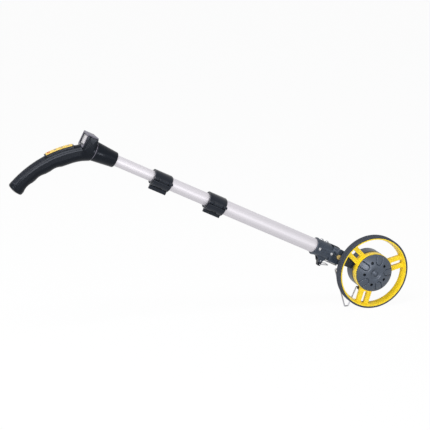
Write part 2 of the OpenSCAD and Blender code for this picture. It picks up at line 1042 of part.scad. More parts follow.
module lower_clamp_pin() {
    clamp_pin(lower_d, lower_clamp_s);
}

module lower_clamp_lever() {
    clamp_lever(lower_d, lower_clamp_s);
}

module upper_clamp() {
    clamp_body(middle_d, upper_clamp_s);
}

module upper_clamp_pin() {
    clamp_pin(middle_d, upper_clamp_s);
}

module upper_clamp_lever() {
    clamp_lever(middle_d, upper_clamp_s);
}

// Handle

spigot_r = tube_d / 2 + 2;
spigot_l = 14;
collar_screw_s = collar_s + collar_l / 2;

module collar_screw_hole() {
    translate([collar_screw_s, -neck_r - over, 0])
        rotate([-90, 0, 0])
            cylinder(d = screw_d + 2 * seat, h = neck_r);
}

module handle_collar() {
    mouth_r = tube_d / 2 + 4.6;
    color(black)
        shaft_frame()
            difference() {
                along(collar_s)
                    rotate_extrude()
                        polygon([
                            [0, 0],
                            [mouth_r - 1, 0],
                            [mouth_r, 1],
                            [neck_r, collar_l - 1.5],
                            [neck_r - 0.8, collar_l],
                            [spigot_r, collar_l],
                            [spigot_r, collar_l + spigot_l],
                            [0, collar_l + spigot_l]
                        ]);
                along(collar_s - over)
                    cylinder(d = tube_d + 2 * seat, h = upper_top - collar_s + over);
                along(collar_s)
                    cylinder(d = tube_d - 2 * tube_wall - 4, h = collar_l + spigot_l + over);
                collar_screw_hole();
                translate([collar_screw_s, -neck_r - over, 0])
                    rotate([-90, 0, 0])
                        cylinder(d = screw_head_d + 2 * seat, h = over + 3.6);
            }
}

module collar_screw() {
    color(steel)
        shaft_frame()
            translate([collar_screw_s, -neck_r + 3.6, 0])
                rotate([-90, 0, 0]) {
                    translate([0, 0, -screw_head_h])
                        cylinder(d = screw_head_d, h = screw_head_h);
                    cylinder(d = screw_d, h = neck_r - 3.6 - tube_d / 2 + tube_wall + 1);
                }
}

// Rounded top of the grip, from a distance low of the centre of bend
module crown_section(low) {
    intersection() {
        translate([grip_bend - crown_r, 0])
            circle(r = crown_r);
        translate([low, -grip_w])
            square([grip_h, 2 * grip_w]);
    }
}

// Round underside of the grip, from a distance low of its centre of bend
module round_section(low) {
    intersection() {
        translate([low + grip_w / 2, 0])
            circle(d = grip_w);
        translate([low, -grip_w])
            square([grip_w / 2, 2 * grip_w]);
    }
}

// All space on the butt's side of an angle of the bend
module past(angle) {
    on_bend(0, angle)
        translate([0, -grip_bend, -grip_bend])
            cube([2 * grip_bend, grip_bend, 2 * grip_bend]);
}

// Grip below its ridge, with upright sides and a flare at the butt, over its length and past it
module grip_body() {
    intersection() {
        union() {
            bend(grip_end - 2, grip_start, under_c) {
                round_section(under_r);
                translate([under_r + grip_w / 2 - over, -grip_w / 2 + 0.2])
                    square([grip_h, grip_w - 0.4]);
            }
            bend(grip_end - 2, finger_angles[0], under_c)
                round_section(under_r - butt_flare);
        }
        translate([bend_c.x, bend_c.y, -grip_w])
            cylinder(r = ridge_r, h = 2 * grip_w, $fn = 128);
    }
}

module box_outline(inset, end) {
    low = -6;
    difference() {
        translate([box_start + inset, low])
            square([end - box_start - inset, box_h - inset - low]);
        translate([box_start + inset - over, box_h - inset - box_round])
            square(box_round + over);
    }
    translate([box_start + inset + box_round, box_h - inset - box_round])
        circle(r = box_round);
}

module cell_axes(d, l) {
    middle = bend_c + (grip_mid + 3) * [cos(cell_angle), sin(cell_angle)];
    for (side = [-1, 1])
        translate([middle.x, middle.y, side * (cell_d / 2 + 2 * seat)])
            rotate([0, 0, cell_angle + 90])
                translate([-l / 2, 0, 0])
                    rotate([0, 90, 0])
                        cylinder(d = d, h = l);
}

// Key drawn along x from its flange to its cap, with a clearance all round
module key_shape(d, clear, sink) {
    low = -strip_t - key_flange - sink;
    rotate([0, 90, 0]) {
        translate([0, 0, low])
            cylinder(d = d + 2.4 + 2 * clear, h = key_flange + sink + clear);
        translate([0, 0, low])
            cylinder(d = d + 2 * clear, h = key_rise - low);
    }
}

strip_r = plinth_r + strip_t;

module handle_form() {
    along(seam_s)
        cylinder(r = neck_r, h = 20);
    difference() {
        grip_body();
        past(grip_end + cap_angle);
    }
    bend(pad_end, grip_start)
        crown_section(ridge_r - over);
    bend(strip_angles[0] - 0.7, strip_angles[1] + 0.7)
        translate([grip_bend - 3, -strip_w / 2 - plinth_edge])
            square([3 + plinth_h, strip_w + 2 * plinth_edge]);
    plate(-box_w / 2, box_w / 2)
        box_outline(0, box_end);
}

module handle_cuts() {
    along(seam_s - over)
        cylinder(r = spigot_r + seat, h = spigot_l + over + gap);
    along(seam_s)
        cylinder(d = 8, h = 26);
    for (a = finger_angles)
        on_bend(under_r + finger_depth - finger_r, a, under_c)
            translate([0, 0, -grip_w])
                cylinder(r = finger_r, h = 2 * grip_w);
    cell_axes(cell_bay, cell_l + contact_room);
    bend(pad_end + 2.5, grip_start - 14)
        translate([grip_mid + 1, 0])
            circle(d = grip_w - 9);
    plate(-box_w / 2 + shell_t, box_w / 2 - shell_t)
        translate([box_start + 10, 0])
            square([box_end - box_start, box_h - shell_t]);
    for (i = [0 : 3])
        on_bend(strip_r, key_angles[i])
            key_shape(key_d[i], gap, key_travel + 2 * gap);
    for (s = shell_screws)
        translate([s[0].x, s[0].y, 0]) {
            translate([0, 0, -8])
                cylinder(d = screw_d + 2 * seat, h = s[1] + 8);
            translate([0, 0, s[1] - screw_head_h - 1.4])
                cylinder(d = screw_head_d + 2 * seat, h = screw_head_h + 1.4 + over);
        }
}

module handle_half(low, high) {
    reach = grip_bend + neck_r + grip_h;
    color(black)
        shaft_frame()
            intersection() {
                difference() {
                    handle_form();
                    handle_cuts();
                }
                translate([seam_s, -reach, low])
                    cube([reach, 2 * reach, high - low]);
            }
}

module handle_shell_near() {
    handle_half(-box_w, 0);
}

module handle_shell_far() {
    handle_half(0, box_w);
}

module handle_screws() {
    color(steel)
        shaft_frame()
            for (s = shell_screws)
                translate([s[0].x, s[0].y, 0]) {
                    translate([0, 0, -7.6])
                        cylinder(d = screw_d, h = s[1] + 7.6 - screw_head_h - 1);
                    translate([0, 0, s[1] - screw_head_h - 1.4])
                        cylinder(d = screw_head_d, h = screw_head_h);
                }
}

module grip_pad() {
    first = grip_end + cap_angle;
    step = rib_pitch / grip_bend * 180 / PI;
    count = floor((pad_end - first) / step) - 1;
    color(black)
        shaft_frame()
            difference() {
                bend(first, pad_end)
                    crown_section(ridge_r + seat);
                for (i = [1 : count])
                    on_bend(grip_bend - rib_depth, first + i * step)
                        translate([0, -rib_pitch / 4, -grip_w])
                            cube([grip_h, rib_pitch / 2, 2 * grip_w]);
            }
}

module battery_cap() {
    color(black)
        shaft_frame()
            intersection() {
                union() {
                    grip_body();
                    bend(grip_end - 2, grip_end + 2 * cap_angle)
                        crown_section(ridge_r - over);
                }
                past(grip_end + cap_angle);
                on_bend(grip_mid, grip_end)
                    translate([0, butt_r, 0])
                        sphere(r = butt_r, $fn = 128);
            }
}

module batteries() {
    color(steel)
        shaft_frame()
            cell_axes(cell_d, cell_l);
}

module control_strip() {
    color(yellow)
        shaft_frame()
            difference() {
                bend(strip_angles[0], strip_angles[1])
                    translate([plinth_r + seat, -strip_w / 2])
                        square([strip_t - seat, strip_w]);
                for (i = [0 : 3])
                    on_bend(strip_r, key_angles[i])
                        rotate([0, 90, 0])
                            translate([0, 0, -2 * strip_t])
                                cylinder(d = key_d[i] + 2 * gap, h = 4 * strip_t);
            }
}

module key(i, tint) {
    color(tint)
        shaft_frame()
            on_bend(strip_r, key_angles[i])
                translate([-gap, 0, 0])
                    key_shape(key_d[i], 0, 0);
}

module power_key() {
    key(0, "#c8402c");
}

module key_a() {
    key(1, grey);
}

module key_b() {
    key(2, grey);
}

module key_c() {
    key(3, grey);
}

module window_outline(edge) {
    translate([window_low - edge, -window_w / 2 - edge])
        square([window_h + 2 * edge, window_w + 2 * edge]);
}

// Plate across the shaft, with its outline drawn upward in x and along the axle in y
module face_plate(low, high) {
    translate([low, 0, 0])
        rotate([90, 0, 90])
            linear_extrude(high - low)
                children();
}

module display_bezel() {
    color(grey)
        shaft_frame()
            difference() {
                union() {
                    face_plate(box_end, box_end + bezel_t)
                        translate([bezel_low, -box_w / 2])
                            square([box_h + hood_t - bezel_low, box_w]);
                    plate(-box_w / 2, box_w / 2)
                        translate([box_start + box_round, box_h])
                            square([box_end - box_start - box_round + bezel_t, hood_t]);
                }
                face_plate(box_end - over, box_end + bezel_t + over)
                    window_outline(0);
                bend(grip_start - 12, grip_start)
                    translate([grip_bend - crown_r, 0])
                        circle(r = crown_r + seat);
            }
}

module display_window() {
    color("#cfd3d2", 0.4)
        shaft_frame()
            face_plate(box_end - 1.2, box_end)
                window_outline(1.5);
}

module lcd_panel() {
    color("#c9c4c6")
        shaft_frame()
            face_plate(box_end - 3.4, box_end - 1.2)
                window_outline(1);
}

module circuit_board() {
    color("#2f6b45")
        shaft_frame()
            face_plate(box_end - 3.4 - board_t, box_end - 3.4)
                translate([gap, -box_w / 2 + shell_t + gap])
                    square([box_h - shell_t - 2 * gap, box_w - 2 * shell_t - 2 * gap]);
}

tyre();
wheel();
hub_cover();
hub_screws();
front_bearing();
rear_bearing();
bearing_spacer();
magnet_ring();
hub_housing();
housing_cover();
housing_screws();
axle();
axle_nut();
sensor_board();
kickstand();
fold_socket();
socket_rivets();
fold_pin();
latch_pin();
latch_lever();
latch_hook();
latch_bail();
lower_tube();
lower_clamp();
lower_clamp_pin();
lower_clamp_lever();
middle_tube();
middle_bush();
upper_clamp();
upper_clamp_pin();
upper_clamp_lever();
upper_tube();
upper_bush();
handle_collar();
collar_screw();
handle_shell_near();
handle_shell_far();
handle_screws();
grip_pad();
battery_cap();
batteries();
control_strip();
power_key();
key_a();
key_b();
key_c();
display_bezel();
display_window();
lcd_panel();
circuit_board();
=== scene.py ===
"""Looks of the folding measuring wheel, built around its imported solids.

Solids whose form is right keep their mesh and take the finishes below. The tyre, the moulded handle and the
other pieces that need softer edges or finer relief are worked out here as numpy surfaces, and most of them
stand for a solid. Lengths are metres in the row frame: X to the right, Y along the axle away from the domed
face, Z up. Most places are given in millimetres in the shaft's own directions: s along the tubes from the
axle to the handle, h square to the tubes and upward, y along the axle from the middle of the tubes.
"""
import math

import bmesh
import bpy
import numpy as np
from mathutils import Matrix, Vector


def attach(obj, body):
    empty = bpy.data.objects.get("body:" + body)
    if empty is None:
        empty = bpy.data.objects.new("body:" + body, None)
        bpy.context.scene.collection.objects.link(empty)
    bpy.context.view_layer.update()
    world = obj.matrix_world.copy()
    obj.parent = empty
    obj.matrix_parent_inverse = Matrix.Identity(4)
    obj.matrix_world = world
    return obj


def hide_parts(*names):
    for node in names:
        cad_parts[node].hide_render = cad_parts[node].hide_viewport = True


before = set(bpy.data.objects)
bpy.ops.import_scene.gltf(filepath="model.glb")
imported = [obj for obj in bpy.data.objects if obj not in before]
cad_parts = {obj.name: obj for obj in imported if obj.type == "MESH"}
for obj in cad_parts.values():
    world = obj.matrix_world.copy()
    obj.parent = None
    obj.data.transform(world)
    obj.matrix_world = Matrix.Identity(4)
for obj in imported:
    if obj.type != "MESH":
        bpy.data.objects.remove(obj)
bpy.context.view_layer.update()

MM = 0.001
ROLL_PER_TURN = 500  # way that the wheel covers in one turn
WHEEL_R = ROLL_PER_TURN / (2 * math.pi)
SLOPE = math.radians(27.2)  # of the tubes
SHAFT_Y = 30.0  # from the middle of the wheel to the middle of the tubes
SHAFT_DROP = 1.6  # of the tubes' line below the hub's centre
ALONG = np.array([-math.cos(SLOPE), 0.0, math.sin(SLOPE)])
UPWARD = np.array([math.sin(SLOPE), 0.0, math.cos(SLOPE)])
AXLE = np.array([0.0, 1.0, 0.0])
HUB = np.array([0.0, 0.0, WHEEL_R])


def on_shaft(s, h, y):
    """Row coordinates of shaft places: the tubes pass a little under the hub's centre and beside it; from
    there s is along the tubes, h square to them and upward, y along the axle."""
    s, h, y = np.broadcast_arrays(*(np.asarray(v, float)[..., None] for v in (s, h, y)))
    return MM * (HUB + s * ALONG + (h - SHAFT_DROP) * UPWARD + (y + SHAFT_Y) * AXLE)


def beside_shaft(loop, level):
    """Row coordinates of a plate along the shaft: its loop is s and h, its level y."""
    return on_shaft(loop[..., 0], loop[..., 1], level)


def across_shaft(loop, level):
    """Row coordinates of a plate across the shaft: its loop is h and y, its level s."""
    return on_shaft(level, loop[..., 0], loop[..., 1])


def on_wheel(radius, turn, y):
    """Row coordinates of wheel places: radius and turn about the axle, y along it from the wheel's middle."""
    radius, turn, y = np.broadcast_arrays(*(np.asarray(v, float)[..., None] for v in (radius, turn, y)))
    outward = np.concatenate([np.cos(turn), 0 * turn, np.sin(turn)], -1)
    return MM * (HUB + radius * outward + y * AXLE)


def grid_faces(rows, columns, ring):
    """Quads of a grid of loops: corner (i, j) joins (i, j+1), (i+1, j+1) and (i+1, j). The last column meets
    the first, and so does the last row of a ring."""
    i = np.arange(rows if ring else rows - 1)[:, None]
    j = np.arange(columns)[None, :]
    i2, j2 = (i + 1) % rows, (j + 1) % columns
    corners = (i * columns + j, i * columns + j2, i2 * columns + j2, i2 * columns + j)
    return np.stack(np.broadcast_arrays(*corners), -1).reshape(-1, 4)


def skin(points, ring=False):
    """Sheet of a row-by-column grid whose rows are loops: a ring's last row meets its first, and any other
    shape is closed by a fan from each end row to its middle."""
    if not ring:
        ends = [np.broadcast_to(points[k].mean(0), points[k].shape)[None] for k in (0, -1)]
        points = np.concatenate([ends[0], points, ends[1]])
    return points, grid_faces(*points.shape[:2], ring)


def smooth_step(low, high, value):
    """0 below low, 1 above high, and 3t^2 - 2t^3 of the way t between them."""
    t = np.clip((value - low) / (high - low), 0, 1)
    return t * t * (3 - 2 * t)


def quarter(count):
    """Sine and 1 - cosine of even steps through a quarter turn: the two legs of a rounded edge."""
    turn = np.linspace(0, math.pi / 2, count)
    return np.sin(turn), 1 - np.cos(turn)


def whole_turn(count):
    """Even steps round a whole turn, which ends one step before its start."""
    return np.linspace(0, 2 * math.pi, count, endpoint=False)


def heading(degrees):
    """Unit vectors of s and h at angles from the shaft's direction."""
    turn = np.radians(degrees)
    return np.stack([np.cos(turn), np.sin(turn)], -1)


def arc(top, radius, distance):
    """Height of a circle's arc at a distance from its middle, where it reaches its top: top - radius + the
    root of radius^2 - distance^2."""
    return top - radius + np.sqrt(radius ** 2 - distance ** 2)


def add_object(name, mesh, finish):
    """Puts a mesh into the scene as a smooth object of one finish."""
    mesh.polygons.foreach_set("use_smooth", np.ones(len(mesh.polygons), bool))
    mesh.materials.append(finish)
    made = bpy.data.objects.new(name, mesh)
    bpy.context.scene.collection.objects.link(made)
    return made


def make_piece(name, parts, body, finish, stands_for=None, sharp=35):
    """One object from several (points, faces) sheets, with normals outward, smooth but for edges over the
    sharp angle."""
    start, places, faces = 0, [], []
    for points, corners in parts:
        places.append(points.reshape(-1, 3))
        faces += (corners + start).tolist()
        start += len(places[-1])
    mesh = bpy.data.meshes.new(name)
    mesh.from_pydata(np.concatenate(places).tolist(), [], faces)
    work = bmesh.new()
    work.from_mesh(mesh)
    bmesh.ops.remove_doubles(work, verts=work.verts, dist=1e-6)
    bmesh.ops.recalc_face_normals(work, faces=work.faces)
    work.to_mesh(mesh)
    work.free()
    piece = add_object(name, mesh, finish)
    mesh.set_sharp_from_angle(angle=math.radians(sharp))
    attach(piece, body)
    if stands_for:
        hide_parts(stands_for)


# Wheel pieces: heights are from the middle of the wheel towards the domed face

TYRE_THICK = 3.8
RIM_R = WHEEL_R - TYRE_THICK
TYRE_HALF = 9.0
LID_R = 40.8
LID_RISE = 9  # of the dome, from its edge to its middle
DOME_TOP = 20.0  # height of the dome's middle
DOME_R = (LID_R ** 2 + LID_RISE ** 2) / (2 * LID_RISE)


def tyre_ring():
    """Tyre: a section carried round the axle. The tread's radius is the wheel's, less three bell-shaped
    grooves and a quarter round at each shoulder; the section closes along the rim."""
    shoulder = 1.6
    groove_depth, groove_width = 1.3, 0.9
    groove_y = np.linspace(-4.6, 4.6, 3)
    y = np.linspace(-TYRE_HALF, TYRE_HALF, 150)
    beyond = np.clip(np.abs(y) - TYRE_HALF + shoulder, 0, shoulder)
    radius = arc(WHEEL_R, shoulder, beyond)
    radius -= groove_depth * np.exp(-((y[:, None] - groove_y) / groove_width) ** 2).sum(1)
    seat = np.linspace(TYRE_HALF, -TYRE_HALF, 6)
    radius = np.concatenate([radius, 0 * seat + RIM_R])
    return skin(on_wheel(radius, whole_turn(220)[:, None], np.concatenate([y, seat])), ring=True)


def nearest_fifth(rho, turn, first):
    """Distance along and across the nearest of five spokes of a star whose first is at an angle in
    degrees."""
    step = 2 * math.pi / 5
    off = (turn - math.radians(first) + step / 2) % step - step / 2
    return rho * np.cos(off), rho * np.sin(off)


def lid_height(rho, turn):
    """Height of the hub cover: the dome, less a round trench about a low button, five screw wells, and five
    petals. A petal is a bell-shaped groove just inside the outline of a bar that runs out to the rim and
    has a round inner end; the groove fades out at the rim."""
    trench_r, trench_depth = 7, 3.2
    inner_slope, outer_slope = 3.2, 4.2
    well_turn, well_place = 107, 25
    well_floor_r, well_r, well_depth = 2.7, 3.0, 6.4
    petal_turn, petal_start, petal_half = 143, 26.5, 7.5
    groove_inset, groove_width, groove_depth = 0.55, 0.75, 1.7
    groove_end, plain_rim = 39.2, 40.2

    trench = np.exp(-((rho - trench_r) / np.where(rho < trench_r, inner_slope, outer_slope)) ** 2)
    height = arc(DOME_TOP, DOME_R, rho) - trench_depth * trench + 0 * turn
    u, v = nearest_fifth(rho, turn, well_turn)
    height -= well_depth * (1 - smooth_step(well_floor_r, well_r, np.hypot(u - well_place, v)))
    u, v = nearest_fifth(rho, turn, petal_turn)
    outline = np.where(u < petal_start, np.hypot(u - petal_start, v), np.abs(v)) - petal_half
    groove = groove_depth * np.exp(-((outline + groove_inset) / groove_width) ** 2)
    return height - groove * (1 - smooth_step(groove_end, plain_rim, rho))


def hub_lid():
    """Hub cover: lid_height over a polar grid that is finer at the trench and the screw wells, a rounded
    rim, a straight edge down to the drum, and an inner face that follows the dome a wall's thickness
    below."""
    rim_round, wall, least_wall = 0.8, 2.5, 1.4
    face_r, drum_edge = LID_R - rim_round, 8.04
    inner_r, inner_chamfer, least_r = 38.6, 0.2, 0.02
    # First radius, last radius and count of each group of rings
    rings = ((least_r, 5, 6), (5.4, 9.8, 13), (10.4, 21.4, 16), (21.7, 28.3, 25), (28.8, face_r, 20))
    turn = whole_turn(450)
    out, down = (leg[1:, None] for leg in quarter(5))
    rho = np.concatenate([np.linspace(*ring) for ring in rings])[:, None]
    inner = np.linspace(inner_r - inner_chamfer, least_r, 26)[:, None]
    top = lid_height(rho, turn)
    below = np.minimum(arc(DOME_TOP, DOME_R, inner) - wall + 0 * turn, lid_height(inner, turn) - least_wall)
    edge = top[-1:] - rim_round * down
    foot = np.full((2, len(turn)), drum_edge)
    radius = np.concatenate([rho, face_r + rim_round * out, [[LID_R], [inner_r]], inner]) + 0 * turn
    return skin(on_wheel(radius, turn, -np.concatenate([top, edge, foot, below])))


# Handle pieces: angles in degrees and radii in millimetres about the centre of bend of the grip

SEAM_S = 668.5  # seam between collar and neck
SEAM_ROUND = 1.6  # of the neck's edge at the seam
NECK_R = 20.0
NECK_FULLNESS = 2.2  # of the neck below, beyond its radius
GRIP_BEND = 216.0  # radius of the grip's crown
GRIP_HALF = 15.3
CROWN_R = 15.5  # radius of the crown's section
CROWN_RISE = 6.5  # of the crown above the ridges beside it
CROWN_HALF = math.sqrt(CROWN_R ** 2 - (CROWN_R - CROWN_RISE) ** 2)
RIDGE_R = GRIP_BEND - CROWN_RISE
LIP = 2.5  # chamfer beside the ridge
GRIP_IN, GRIP_IN_ANGLE = np.array([SEAM_S + 18.4, 7.6]), 62  # where the crown's bend starts
BEND_C = GRIP_IN - GRIP_BEND * heading(GRIP_IN_ANGLE)
GRIP_H, MID_ANGLE = 32.5, 40  # height of the grip in the middle of its bend
UNDER_SHIFT = np.array([7.8, -5.2])  # from the centre of bend to that of the underside
UNDER_R = GRIP_BEND - GRIP_H - UNDER_SHIFT @ heading(MID_ANGLE)
FINGER_ANGLES, FINGER_R, FINGER_RISE = (24.5, 33.6, 44.5), 20, 3  # waves for three fingers
BUTT_PLANE, CAP_PLANE = 14.2, 17.4  # angles of the cap's two ends
PAD_END, BLEND_END = 38.5, 57.0  # angles where the ribbed pad ends and where the neck begins
HAIR = 0.02  # angle between pieces that meet
BAY_START, BAY_END, BAY_WALL = 40.0, 53.9, 0.15  # angles of the bay under the keys
PLINTH_TOP = GRIP_BEND + 1.6  # radius of the face that the control strip lies on
BOX_FACE = SEAM_S + 24.5  # face of the display box
BOX_TOP, BOX_HALF = 26, 20  # its height above the tubes' line and its half-width


def bend_place(r, angle):
    """Distances s and h of a place at a radius and angle of the grip's bend."""
    turn = np.radians(angle)
    return BEND_C[0] + r * np.cos(turn), BEND_C[1] + r * np.sin(turn)


def on_grip(r, angle, y):
    """Row coordinates of a place at a radius and angle of the grip's bend."""
    return on_shaft(*bend_place(r, angle), y)


def underside(angle):
    """Radius of the grip's underside and of the finger waves at an angle: where the ray from the centre of
    bend leaves the underside's own circle, which is smaller by a flare at the butt and larger towards the
    neck, and where it leaves each finger's circle."""
    butt_flare, flare_start, flare_end = 2.3, 21.5, 27
    neck_rise, rise_start = 2.2, 46
    no_wave = 150  # a radius below the grip
    ray = heading(angle)
    across = np.stack([-ray[..., 1], ray[..., 0]], -1)
    base = UNDER_R - butt_flare * (1 - smooth_step(flare_start, flare_end, angle))
    base = base + neck_rise * smooth_step(rise_start, BLEND_END, angle)
    plain = ray @ UNDER_SHIFT + np.sqrt(base ** 2 - (across @ UNDER_SHIFT) ** 2)
    fingers = UNDER_SHIFT + (UNDER_R + FINGER_RISE - FINGER_R) * heading(FINGER_ANGLES)
    chord = FINGER_R ** 2 - (across @ fingers.T) ** 2
    waves = np.where(chord > 0, ray @ fingers.T + np.sqrt(np.maximum(chord, 0)), no_wave)
    return plain, waves.max(-1)


def larger(a, b):
    """Larger of two lengths, with a soft change between them: half of a + b + the root of (a - b)^2 + a small
    area."""
    softness = 0.5
    return (a + b + np.sqrt((a - b) ** 2 + softness)) / 2


def key_bay(angle):
    """1 over the bay under the four keys, 0 beyond its two ends."""
    return (smooth_step(BAY_START, BAY_START + BAY_WALL, angle)
            * (1 - smooth_step(BAY_END - BAY_WALL, BAY_END, angle)))


def grip_section(angle, crowned):
    """Half of the grip's section at each angle, from the middle of its top to the middle of its underside,
    as radius and half-width: a round crown with the key bay in it, or the pad's flat seat; a narrow ledge
    with a softened chamfer; an upright side; and a half round underside. The finger waves lift the round by
    a share of their height, and are blended in over it as the larger of two radii."""
    seat_drop, roundness, wave_lift = 0.1, 0.08, 0.45
    bay_depth, bay_half, bay_edge = 2.4, 5.0, 6.0
    plain, waves = (v[:, None] for v in underside(angle))
    top = CROWN_HALF * np.sin(np.linspace(0, math.pi / 2, 22))
    crown = np.where(crowned[:, None], arc(GRIP_BEND, CROWN_R, top), RIDGE_R - seat_drop)
    crown = crown - bay_depth * key_bay(angle)[:, None] * (1 - smooth_step(bay_half, bay_edge, top))
    out, down = (roundness * leg + (1 - roundness) * np.linspace(0, 1, 8) for leg in quarter(8))
    ledge = CROWN_HALF + np.array([0.02, 0.1])
    lip = GRIP_HALF - LIP + LIP * out
    centre = plain + wave_lift * (larger(plain, waves) - plain) + GRIP_HALF
    fall = np.linspace(0, 1, 34)[1:-1]
    side = (RIDGE_R - LIP) * (1 - fall) + centre * fall
    round_turn = np.linspace(0, math.pi / 2, 26)
    below = larger(centre - GRIP_HALF * np.sin(round_turn), waves)
    rows = np.ones_like(angle)[:, None]
    r = np.concatenate([crown, rows * (RIDGE_R + 0 * ledge), rows * (RIDGE_R - LIP * down), side, below], 1)
    half = np.concatenate([top, ledge, lip, 0 * fall + GRIP_HALF, GRIP_HALF * np.cos(round_turn)])
    return r, rows * half


def neck_rows(start):
    """Rows of s, h and half-width from the grip's last section to the seam: a cubic Hermite blend, which
    leaves along the bend and arrives along the tubes or, below, straight from its start, at a round neck
    that is fuller below; then a quarter round at the seam."""
    fuller_from = 0.55 * math.pi
    around = np.linspace(0, math.pi, start.shape[1])
    lower = smooth_step(fuller_from, math.pi, around)
    radius = NECK_R + NECK_FULLNESS * lower
    stop = np.stack([SEAM_S + SEAM_ROUND + 0 * around, radius * np.cos(around), radius * np.sin(around)])
    pull = np.hypot(start[0] - stop[0], start[1] - stop[1])
    cosine, sine = heading(BLEND_END)
    leave = np.array([[-sine], [cosine], [0]]) * pull
    arrive = np.stack([-pull, 0 * pull, 0 * pull]) * (1 - lower) + (stop - start) * lower
    t = np.linspace(0, 1, 40)[1:, None]
    blend = ((2 * t ** 3 - 3 * t ** 2 + 1) * start[:, None] + (t ** 3 - 2 * t ** 2 + t) * leave[:, None]
             + (3 * t ** 2 - 2 * t ** 3) * stop[:, None] + (t ** 3 - t ** 2) * arrive[:, None])
    out, down = (leg[1:, None] for leg in quarter(5))
    edge_s = SEAM_S + SEAM_ROUND - SEAM_ROUND * out + 0 * around
    edge_r = radius - (radius - NECK_R + SEAM_ROUND) * down
    edge = np.stack([edge_s, edge_r * np.cos(around), edge_r * np.sin(around)])
    return np.concatenate([blend, edge], 1)


def grip_half(side, wells):
    """One half of the grip and neck: sections along the bend and the neck's rows, each closed by a straight
    line between the halves. A screw well is pressed into the outer side within a circle about its screw."""
    well_floor_r, well_r, well_depth = 2.85, 3.1, 3.0
    outer_side = 12  # half-width beyond which a place belongs to the outer side
    under_pad = np.linspace(CAP_PLANE, PAD_END, 150)
    angle = np.concatenate([under_pad, np.linspace(PAD_END + HAIR, BLEND_END, 130)])
    r, half = grip_section(angle, angle > PAD_END)
    s, h = bend_place(r, angle[:, None])
    for well_s, well_h in wells:
        press = 1 - smooth_step(well_floor_r, well_r, np.hypot(s - well_s, h - well_h))
        half = half - well_depth * press * (half > outer_side)
    rows = np.stack([s, h, half])
    rows = np.concatenate([rows, neck_rows(rows[:, -1])], 1)
    join = np.linspace(0, 1, 12)[1:-1]
    closing = rows[..., -1:] * (1 - join) + rows[..., :1] * join
    s, h, half = np.concatenate([rows, closing], -1)
    return skin(on_shaft(s, h, side * half))


def rounded_loop(low, high, radius):
    """Loop of a rectangle between two corners, anticlockwise from the high one, with a quarter round at each
    corner; the radius is one for all of them or four in that order."""
    corner = np.array([(high[0], high[1]), (low[0], high[1]), (low[0], low[1]), (high[0], low[1])], float)
    inward = np.array([(-1, -1), (1, -1), (1, 1), (-1, 1)], float)
    radius = np.broadcast_to(radius, 4).astype(float)[:, None]
    turn = np.linspace(0, math.pi / 2, 9) + np.arange(4)[:, None] * math.pi / 2
    centre = corner + radius * inward
    loop = centre[:, None] + radius[..., None] * np.stack([np.cos(turn), np.sin(turn)], -1)
    return loop.reshape(-1, 2)


def inset(loop, distance):
    """A loop moved inward: each point square to the line between its two neighbours."""
    ahead = np.roll(loop, -1, 0) - np.roll(loop, 1, 0)
    normal = np.stack([-ahead[:, 1], ahead[:, 0]], -1)
    return loop + distance * normal / np.linalg.norm(normal, axis=1, keepdims=True)


def padded_plate(loop, low, high, edge, place):
    """A plate between two levels with quarter-round edges: its loop, inset by edge(1 - sin) and then by
    edge(1 - cos), at levels that rise by edge(1 - cos) from the lower face and by edge sin to the upper
    one."""
    out, down = quarter(6)
    steps = np.concatenate([edge * (1 - out), edge * down])
    levels = np.concatenate([low + edge * down, high - edge + edge * out])
    loops = np.stack([inset(loop, step) for step in steps])
    return skin(place(loops, levels[:, None]))


def display_box_half(side):
    """Half of the display box: a plate in the plane of the shaft, rounded more at its top corner by the neck,
    and a thin cheek that runs on beside the display's frame."""
    box_start, box_floor, box_edge = SEAM_S + 4.8, -6, 1.4
    cheek_start, cheek_stop, cheek_floor = BOX_FACE - 1.3, BOX_FACE + 3.8, -2
    cheek_inner, cheek_outer, cheek_edge = 17.6, 19.96, 0.5

    def place(loop, level):
        return beside_shaft(loop, side * level)

    block = rounded_loop((box_start, box_floor), (BOX_FACE, BOX_TOP), (0.6, 2.6, 2, 2))
    cheek = rounded_loop((cheek_start, cheek_floor), (cheek_stop, BOX_TOP), (0.5, 0.5, 0.5, 1.6))
    return [padded_plate(block, 0, BOX_HALF, box_edge, place),
            padded_plate(cheek, cheek_inner, cheek_outer, cheek_edge, place)]


def bar_on_bend(first, last, count, half, corner):
    """Angles along a bar on the bend, and its half-width there, with a quarter round at each corner."""
    angle = np.linspace(first, last, count)[:, None]
    ends = np.minimum(angle - first, last - angle) * math.radians(1) * GRIP_BEND
    return angle, arc(half, corner, np.clip(corner - ends, 0, corner))


def strip_plinth_half(side):
    """Half of the raised frame under the control strip: a bar along the bend with a rounded upper edge, and a
    bay in its top for the keys to be pressed into."""
    foot, edge = GRIP_BEND - 4, 0.6
    bay_depth, bay_half, bay_wall = 2.8, 4.9, 1
    angle, half = bar_on_bend(first=39.1, last=55.2, count=160, half=8.7, corner=2.5)
    out, down = quarter(5)
    floor = PLINTH_TOP - bay_depth * key_bay(angle)
    rim = half * np.array([0, 1, 1, 1, 1, 1, 1]) - np.concatenate([[0, 0], edge * down])
    bay = np.minimum(bay_half, half - bay_wall) * np.array([1, 1, 0])
    level = np.concatenate([[foot, foot], PLINTH_TOP - edge + edge * out, [PLINTH_TOP]])
    radius = np.concatenate([level + 0 * angle, floor, floor], 1)
    return skin(on_grip(radius, angle, side * np.concatenate([np.clip(rim, 0, None), bay], 1)))


